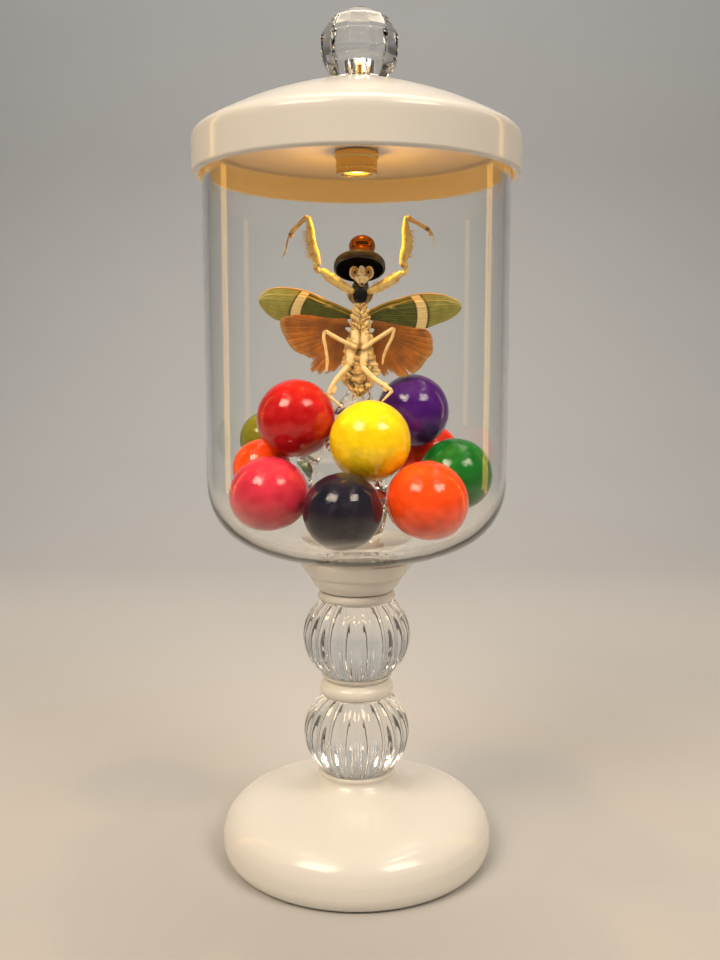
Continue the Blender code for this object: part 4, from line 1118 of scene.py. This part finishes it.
def forewing_shape(side):
    """A wing between its leading and trailing edge: straight chords, a low ridge and a thick front rib.

    Depth is a sweep with the distance from the root, less a sine across the chord, less small folds.
    """
    lead, trail = (spaced(edge, 200) for edge in FOREWING_EDGES[side])
    across = np.linspace(0.0, 1.0, 72)
    flat = lead[:, None] * (1 - across[None, :, None]) + trail[:, None] * across[None, :, None]
    x, z = flat[..., 0], flat[..., 1]
    out = np.abs(x)
    chord = np.linalg.norm(lead - trail, axis=1)[:, None]
    rib = np.exp(-(across[None, :] * chord / 0.55) ** 2)
    folds = 0.03 * np.sin(math.tau * 7 * across[None, :]) * np.clip(out / 10, 0, 1)
    y = 0.2 + 0.065 * out - 0.7 * np.sin(math.pi * across[None, :] ** 0.8) * np.clip(out / 14, 0.3,
                                                                                     1) - 0.25 * rib
    line = through(BAND_LINES[side], 160)
    centre = np.interp(z, line[::-1, 1], line[::-1, 0])
    from_band = side * (x - centre)
    half = 1.95
    cream = np.clip((half - np.abs(from_band)) / 0.35 + 0.5, 0, 1)
    inner = np.clip((-half - from_band) / 0.5 + 0.5, 0, 1)
    edge = np.exp(-((from_band - half - 0.45) / 0.5) ** 2)
    edge = edge + 0.6 * np.exp(-((from_band + half + 0.3) / 0.35) ** 2)
    costa = np.clip(1.25 - across[None, :] * chord / np.clip(1.05 - out / 60, 0.4, 1), 0, 1)
    second = np.exp(-((across[None, :] * chord - 1.9) / 0.28) ** 2) * np.clip((30 - out) / 8, 0, 1)
    spot = np.exp(-(((out - 12.2) / 1.1) ** 2 + ((z - (3.9 if side < 0 else 3.4)) / 0.55) ** 2))
    uv = np.stack([out / 41.0, np.broadcast_to(across[None, :], out.shape)], -1)
    return patch(np.stack([x, y + folds, z], -1), uv=uv, cream=cream, inner=inner, edge=np.clip(edge, 0, 1),
                 costa=np.clip(np.maximum(costa, 0.7 * second), 0, 1), spot=spot)


def vein_net(tree, along, across, rows, steps, shift):
    """Dark lines between numbered rows, and cross lines that are shifted from row to row."""
    coords = add_node(tree, COORDS, {}, "Object")
    wobble = add_node(tree, NOISE, {"Vector": coords, "Scale": per_mm(6.0), "Detail": 2.0})
    wobble = add_node(tree, MATH, {"operation": "MULTIPLY", 0: wobble, 1: 0.8})
    row = add_node(tree, MATH, {"operation": "MULTIPLY_ADD", 0: across, 1: rows, 2: wobble})
    number = add_node(tree, MATH, {"operation": "FLOOR", 0: row})
    shifted = add_node(tree, MATH, {"operation": "MULTIPLY", 0: number, 1: shift})
    step = add_node(tree, MATH, {"operation": "MULTIPLY_ADD", 0: along, 1: steps, 2: shifted})
    found = []
    for line in (row, step):
        place = add_node(tree, MATH, {"operation": "FRACT", 0: line})
        off = add_node(tree, MATH, {"operation": "SUBTRACT", 0: place, 1: 0.5})
        off = add_node(tree, MATH, {"operation": "ABSOLUTE", 0: off})
        found.append(add_node(tree, RANGE, {"Value": off, "From Min": 0.11, "From Max": 0.03}))
    return found


def forewing_membrane(outer, inner_colour, cream):
    """Leathery green wing: two greens, cream band with dark lines, yellow front rib and fine veins."""
    material, tree, shader = new_material("forewing_leather", Roughness=0.42, IOR=1.5, Coat_Weight=0.25,
                                          Coat_Roughness=0.2, Subsurface_Weight=0.1, Subsurface_Scale=0.001)
    uv = add_node(tree, UV, {"uv_map": "UVMap"})
    along, across = (add_node(tree, SPLIT, {0: uv}, i) for i in (0, 1))
    vein, cross = vein_net(tree, along, across, 13.0, 46.0, 0.37)
    net = add_node(tree, MATH, {"operation": "MULTIPLY_ADD", 0: cross, 1: 0.5, 2: vein})
    fade = add_node(tree, RANGE, {"Value": along, "From Min": 0.93, "From Max": 0.72})
    net = add_node(tree, MATH, {"operation": "MULTIPLY", 0: net, 1: fade, "use_clamp": True})
    inner, edge, band, rib, spot = (add_node(tree, MARK, {"attribute_name": mark}, "Fac")
                                    for mark in ("inner", "edge", "cream", "costa", "spot"))
    green, deep, pale = (laid_over(tree, dimmed(colour, low),
                                   ((3.0, 4.0, 0.3, 0.75, 1.0, dimmed(colour, high)),))
                         for colour, low, high in ((outer, 0.8, 1.2), (inner_colour, 0.65, 1.25),
                                                   (cream, 0.92, 1.05)))
    base = painted(tree, green, ((inner, 1.0, deep), (net, 0.22, dimmed(outer, 0.5)),
                                 (edge, 0.85, linear("#26260e")),
                                 (band, 1.0, painted(tree, pale, ((net, 0.35, linear("#c9b873")),))),
                                 (rib, 1.0, linear("#dcae3a")), (spot, 1.0, linear("#e6c25a"))))
    finished(tree, shader, base, 0.12, net, 0.8)
    return material


FAN_OUTLINE = {
    -1: ((-5.5, -1.0), (-10.2, -1.1), (-18.5, -0.1), (-23.7, 0.3), (-28.4, -0.1), (-31.4, -1.2),
         (-32.0, -3.0), (-31.6, -5.2), (-30.3, -8.4), (-28.1, -11.8), (-25.8, -14.2), (-21.9, -15.9),
         (-19.4, -17.7), (-20.7, -20.2), (-19.4, -22.4), (-17.4, -22.0), (-16.6, -23.6), (-13.9, -23.4),
         (-11.9, -22.6), (-9.0, -21.0), (-6.4, -17.0), (-5.2, -13.0)),
    1: ((5.5, -1.6), (8.0, -2.3), (14.1, -3.4), (22.0, -4.9), (26.2, -5.4), (28.2, -7.2), (29.0, -9.6),
        (29.2, -12.2), (29.0, -14.6), (26.8, -17.2), (24.6, -20.2), (22.4, -22.2), (19.6, -23.8),
        (16.9, -24.6), (13.2, -23.4), (9.6, -24.0), (7.0, -20.0), (5.1, -14.0)),
}


def fan_shape(side, pleats, number):
    """A fan of rays from the wing's root to its worn outline.

    Depth is a sweep, plus pleats as a sine across the rays that grow with the distance. The outline
    is cut by fine teeth and a few deep nicks where the membrane has frayed between its veins.
    """
    edge = spaced(FAN_OUTLINE[side], 640)
    root = np.array([side * 3.3, -5.0])
    ray = np.linspace(0.0, 1.0, 640)
    worn = np.clip((ray - 0.28) / 0.1, 0, 1) * np.clip((0.97 - ray) / 0.04, 0, 1)
    torn = worn * (0.10 + 0.90 * np.clip((ray - (0.58 if side < 0 else 0.66)) / 0.08, 0, 1))
    teeth = np.abs(np.sin(math.pi * pleats * 3.0 * ray + 1.3 * np.sin(23.0 * ray))) ** 0.5
    uneven = 0.5 + 0.5 * np.sin(37.0 * ray + number) * np.sin(91.0 * ray + 2 * number)
    nick = np.exp(-((ray - 0.66) / 0.006) ** 2) + np.exp(-((ray - 0.79) / 0.005) ** 2)
    frayed = torn * (0.14 * (1.0 - teeth) * (0.1 + 1.2 * uneven) + 0.05 * uneven ** 2)
    reach = 1.0 - frayed - 0.12 * nick * worn
    out = np.linspace(0.05, 1.0, 30)[None, :] ** 0.8
    flat = root + (edge - root)[:, None] * (out * reach[:, None])[..., None]
    pleat = np.sin(math.tau * pleats * ray)[:, None] * 0.06 * out
    wave = 0.5 * np.sin(5.0 * ray + number)[:, None] * out ** 2
    y = -0.9 + 0.03 * np.abs(flat[..., 0]) + pleat + wave
    uv = np.stack(np.broadcast_arrays(ray[:, None], out), -1)
    fringe = np.clip((out - 0.9) / 0.1, 0, 1) * worn[:, None]
    # The fold mark carries the pleats' painted shade.
    return patch(np.stack([flat[..., 0], y, flat[..., 1]], -1), uv=uv, fringe=fringe,
                 fold=0.5 + 0.5 * np.sin(math.tau * pleats * ray)[:, None] * np.ones_like(out))


def fan_membrane(colour, pleats):
    """Pleated papery hindwing: amber brown between fine dark rays, with painted shade on one side of each
    pleat, paler and dusty along the frayed rim.
    """
    material, tree, shader = new_material("hindwing_paper", Roughness=0.5, IOR=1.5, Coat_Weight=0.1,
                                          Coat_Roughness=0.3, Subsurface_Weight=0.15, Subsurface_Scale=0.001)
    uv = add_node(tree, UV, {"uv_map": "UVMap"})
    around, out = (add_node(tree, SPLIT, {0: uv}, i) for i in (0, 1))
    ray, cross = vein_net(tree, out, around, 2.0 * pleats, 24.0, 0.61)
    root = add_node(tree, RANGE, {"Value": out, "From Min": 0.6, "From Max": 0.05})
    inward = add_node(tree, RANGE, {"Value": out, "From Min": 1.0, "From Max": 0.35, "To Min": 0.25,
                                    "To Max": 0.8})
    rays = add_node(tree, MATH, {"operation": "MULTIPLY", 0: ray, 1: inward})
    fold, fringe = (add_node(tree, MARK, {"attribute_name": mark}, "Fac") for mark in ("fold", "fringe"))
    base = laid_over(tree, dimmed(colour, 0.5), ((5.0, 4.0, 0.3, 0.72, 1.0, dimmed(colour, 1.35)),
                                                 (1.1, 2.0, 0.5, 0.7, 0.35, dimmed(colour, 0.55))))
    # fold lays painted shade on one side of each pleat.
    base = painted(tree, base, ((root, 0.8, dimmed(colour, 0.3)), (fold, 0.15, dimmed(colour, 0.5)),
                                (rays, 0.8, linear("#3c2108")), (cross, 0.15, linear("#5a3510")),
                                (fringe, 0.6, linear("#b8975a"))))
    finished(tree, shader, base, 0.10, ray)
    return material


class MANTISJAR_OT_insect_wings(bpy.types.Operator):
    """Adds the banded green forewings and the pleated hindwings"""
    bl_idname = "mantis_jar.insect_wings"
    bl_label = "Insect wings"

    def execute(self, context):
        own = settings("insect")
        leather = shared("forewing_leather", forewing_membrane, tuple(own.wing), tuple(own.wing_dark),
                         tuple(own.band))
        paper = shared("hindwing_paper", fan_membrane, tuple(own.fan), own.vein_pairs)
        wall = own.wing_wall / MM
        make_piece("mantis_forewings", [forewing_shape(-1), forewing_shape(1)], [leather], ["mantis"],
                   move=INSECT_AT, wall=wall)
        make_piece("mantis_hindwings", [fan_shape(-1, own.vein_pairs, 1), fan_shape(1, own.vein_pairs, 2)],
                   [paper], ["mantis"], move=INSECT_AT, wall=wall)
        return {"FINISHED"}


# Cap and crown: they share one axis, tilted back

HAT_TILT = 25.0
HAT_PLACE = (1.2, 2.0, 239.6)
CROWN_SHIFT = 1.0
# Radius and height, from the pad in the hollow round the brim to the flat top
CAP_PROFILE = (
    (0.0, -1.2), (1.9, -1.0), (2.4, -0.2), (2.4, 2.4), (3.2, 3.1), (7.6, 3.1), (9.3, 1.9), (9.3, 0.1),
    (9.5, 0.0), (10.1, 0.0), (10.3, 0.3), (10.3, 2.2), (9.7, 3.4), (8.4, 4.0), (0.0, 4.1),
)
CROWN_PROFILE = (
    (4.8, 4.45), (5.15, 5.0), (5.25, 6.2), (5.1, 7.4), (4.65, 8.3), (4.75, 8.9), (5.2, 9.6), (5.3, 10.4),
    (5.25, 11.2), (4.9, 12.2), (4.1, 13.2), (2.9, 13.9), (1.5, 14.3), (0.0, 14.4),
)
INSIDE_RADIUS = 9.4


def hat_place(points):
    """Tilts a shape back from upright and sets it on the head."""
    turn = np.array(Matrix.Rotation(math.radians(-HAT_TILT), 3, "X"))
    return points @ turn.T + np.array(HAT_PLACE)


def painted_cap_shade():
    """The inside of the cap, near black as painted shade that the cap holds: rough, giving back little
    light.
    """
    material, tree, shader = new_material("black_flocking", Roughness=0.95, IOR=1.3, Specular_IOR_Level=0.1)
    base = laid_over(tree, (0.0012, 0.001, 0.001), ((0.6, 3.0, 0.35, 0.7, 1.0, (0.006, 0.005, 0.004)),))
    tree.links.new(base, shader.inputs["Base Color"])
    return material


def black_lacquer():
    """Black lacquer gone slightly dull: brown-black, with fine scuffs."""
    material, tree, shader = new_material("black_lacquer", Roughness=0.4, IOR=1.5, Coat_Weight=0.2,
                                          Coat_Roughness=0.2)
    base = laid_over(tree, linear("#0a0705"), ((1.2, 5.0, 0.4, 0.75, 1.0, linear("#160d07")),))
    finished(tree, shader, base, 0.04, 0.7)
    return material


class MANTISJAR_OT_hat(bpy.types.Operator):
    """Adds the black hollow cap and its copper crown"""
    bl_idname = "mantis_jar.hat"
    bl_label = "Cap and crown"

    def execute(self, context):
        own = settings("insect")
        lacquer = shared("black_lacquer", black_lacquer)
        inside_shade = shared("black_flocking", painted_cap_shade)
        copper = shared("polished_copper", turned_metal, "polished_copper", tuple(own.copper), 0.16, 0.8)
        cap = softened(CAP_PROFILE, 0.5)
        edge = int(np.argmax(cap[:, 0] > INSIDE_RADIUS))
        # The inside of the cap is painted near black as its shade.
        make_piece("hat_cap_lacquered", [patch(hat_place(turned(cap[:edge + 1], 96)), wrap=True),
                                         patch(hat_place(turned(cap[edge:], 96)), wrap=True)],
                   [inside_shade, lacquer], ["hat_cap"], slots_of=[0, 1])
        crown = np.vstack([[(0.0, 4.42)], through(CROWN_PROFILE, 110)])
        shape = turned(crown, 72) + np.array([CROWN_SHIFT, 0.0, 0.0])
        make_piece("hat_crown_copper", [patch(hat_place(shape), wrap=True)], [copper], ["hat_crown"])
        return {"FINISHED"}


# Stage

def soft_light(name, place, aim, size, power, tone, beam):
    """A rectangle of light that faces its aim, with a beam in degrees."""
    light = bpy.data.lights.new(name, "AREA")
    light.shape = "RECTANGLE"
    light.size, light.size_y = size
    light.energy = power
    light.color = tone
    light.spread = math.radians(beam)
    lamp = bpy.data.objects.new(name, light)
    lamp.location = place
    lamp.rotation_euler = (Vector(aim) - Vector(place)).to_track_quat("-Z", "Y").to_euler()
    lamp.visible_camera = False
    bpy.context.scene.collection.objects.link(lamp)


def lid_light(name, kind, height, power, code, size):
    """A small warm light on the jar's axis that isn't seen itself, only what it lights."""
    light = bpy.data.lights.new(name, kind)
    light.energy, light.color, light.shadow_soft_size = power, linear(code), size
    lamp = bpy.data.objects.new(name, light)
    lamp.location = (0.0, 0.0, height)
    lamp.visible_camera = lamp.visible_transmission = lamp.visible_glossy = False
    bpy.context.scene.collection.objects.link(lamp)
    return light


# Name, place, aim, size, share of the key light, colour, beam
MIDDLE = (0.0, 0.0, 0.2)
LIGHTS = (
    ("key", (-0.65, -0.75, 1.15), MIDDLE, (0.7, 0.5), 1.0, "#ffeacf", 75.0),
    ("fill", (0.7, -0.7, 1.1), MIDDLE, (0.6, 0.4), 0.6, "#ffeedb", 75.0),
    ("top", (0.1, 0.35, 1.3), MIDDLE, (0.9, 0.6), 0.4, "#fff0de", 75.0),
    ("bar_left", (-0.55, -0.35, 1.5), MIDDLE, (0.9, 0.012), 0.24, "#fff6e8", 90.0),
    ("bar_right", (0.6, -0.25, 1.4), MIDDLE, (0.8, 0.012), 0.20, "#fff6e8", 90.0),
    ("strip_left", (-0.7, 0.25, 0.35), MIDDLE, (0.05, 0.8), 0.22, "#ffc868", 180.0),
    ("strip_right", (0.7, 0.25, 0.35), MIDDLE, (0.05, 0.8), 0.22, "#ffc868", 180.0),
    ("backdrop", (0.0, 0.1, 1.7), (0.0, 1.1, 0.5), (1.8, 0.3), 2.6, "#ffffff", 100.0),
)
SENSOR, FOCAL = 36.0, 37.5
SHIFT = 3.4 / 960.0


class MANTISJAR_OT_stage(bpy.types.Operator):
    """Adds the plain floor, the soft lights, the lamp's glow and the camera"""
    bl_idname = "mantis_jar.stage"
    bl_label = "Stage"

    def execute(self, context):
        own = settings("stage")
        scene = bpy.context.scene
        line = np.vstack([[(-3.0, 0.0), (0.6, 0.0)], arc((0.6, 0.5), (0.5, 0.5), -90, 0, 24), [(1.1, 3.0)]])
        across = np.linspace(-3.5, 3.5, 8)
        sweep = np.stack([np.broadcast_to(across, (len(line), 8)),
                          np.broadcast_to(line[:, :1], (len(line), 8)),
                          np.broadcast_to(line[:, 1:], (len(line), 8))], -1)
        shape = patch(sweep)
        mesh = bpy.data.meshes.new("floor")
        mesh.from_pydata(shape["points"].tolist(), [], shape["quads"].tolist())
        mesh.shade_smooth()
        floor = bpy.data.objects.new("floor", mesh)
        scene.collection.objects.link(floor)
        paper, tree, shader = new_material("seamless_paper", Roughness=0.75)
        base = laid_over(tree, tuple(own.floor), ((90.0, 2.0, 0.0, 1.0, 1.0, dimmed(own.floor, 0.96)),))
        tree.links.new(base, shader.inputs["Base Color"])
        mesh.materials.append(paper)

        world = bpy.data.worlds.new("studio")
        world.use_nodes = True
        world.node_tree.nodes["Background"].inputs[0].default_value = (*linear("#d8d4ce"), 1.0)
        world.node_tree.nodes["Background"].inputs[1].default_value = 0.12
        scene.world = world
        for name, place, aim, size, share, code, beam in LIGHTS:
            soft_light(name, place, aim, size, own.key * share, linear(code), beam)
        spot = lid_light("lid_lamp", "SPOT", 0.2755, own.lamp * 8.0, "#ffb94a", 0.004)
        spot.spot_size, spot.spot_blend = math.radians(130.0), 0.6
        lid_light("lid_glow", "POINT", 0.268, own.lamp, "#ffb01c", 0.006)

        camera = bpy.data.cameras.new("camera")
        camera.sensor_width, camera.lens, camera.shift_x = SENSOR, FOCAL, SHIFT
        camera.clip_start = 0.01
        eye = bpy.data.objects.new("camera", camera)
        eye.location = (0.0, -own.eye_distance, own.eye_height)
        eye.rotation_euler = (math.pi / 2 - own.eye_dip, 0.0, 0.0)
        scene.collection.objects.link(eye)
        scene.camera = eye
        scene.cycles.max_bounces = 24
        scene.cycles.transmission_bounces = 20
        scene.cycles.glossy_bounces = 8
        scene.view_settings.view_transform = "Standard"
        return {"FINISHED"}


STEPS = (
    MANTISJAR_OT_stand, MANTISJAR_OT_jar, MANTISJAR_OT_lid, MANTISJAR_OT_knob, MANTISJAR_OT_sweets,
    MANTISJAR_OT_support, MANTISJAR_OT_insect_body, MANTISJAR_OT_insect_head, MANTISJAR_OT_insect_legs,
    MANTISJAR_OT_insect_wings, MANTISJAR_OT_hat, MANTISJAR_OT_stage,
)


class MANTISJAR_PT_panel(bpy.types.Panel):
    """Lists the settings and the steps"""
    bl_idname = "MANTISJAR_PT_panel"
    bl_label = "Mantis Jar"
    bl_space_type = "VIEW_3D"
    bl_region_type = "UI"
    bl_category = "Mantis Jar"

    def draw(self, context):
        for name, group in GROUPS:
            box = self.layout.box()
            box.label(text=group.__doc__)
            for key in group.__annotations__:
                box.prop(settings(name), key)
        for step in STEPS:
            self.layout.operator(step.bl_idname)


CLASSES = tuple(group for _, group in GROUPS) + STEPS + (MANTISJAR_PT_panel,)


def register():
    for cls in CLASSES:
        bpy.utils.register_class(cls)
    for name, group in GROUPS:
        setattr(bpy.types.Scene, "mantis_jar_" + name, PointerProperty(type=group))


def unregister():
    for name, _ in GROUPS:
        delattr(bpy.types.Scene, "mantis_jar_" + name)
    for cls in reversed(CLASSES):
        bpy.utils.unregister_class(cls)


def main():
    """Builds every piece."""
    register()
    for step in STEPS:
        family, name = step.bl_idname.split(".")
        getattr(getattr(bpy.ops, family), name)()


if __name__ == "__main__":
    main()
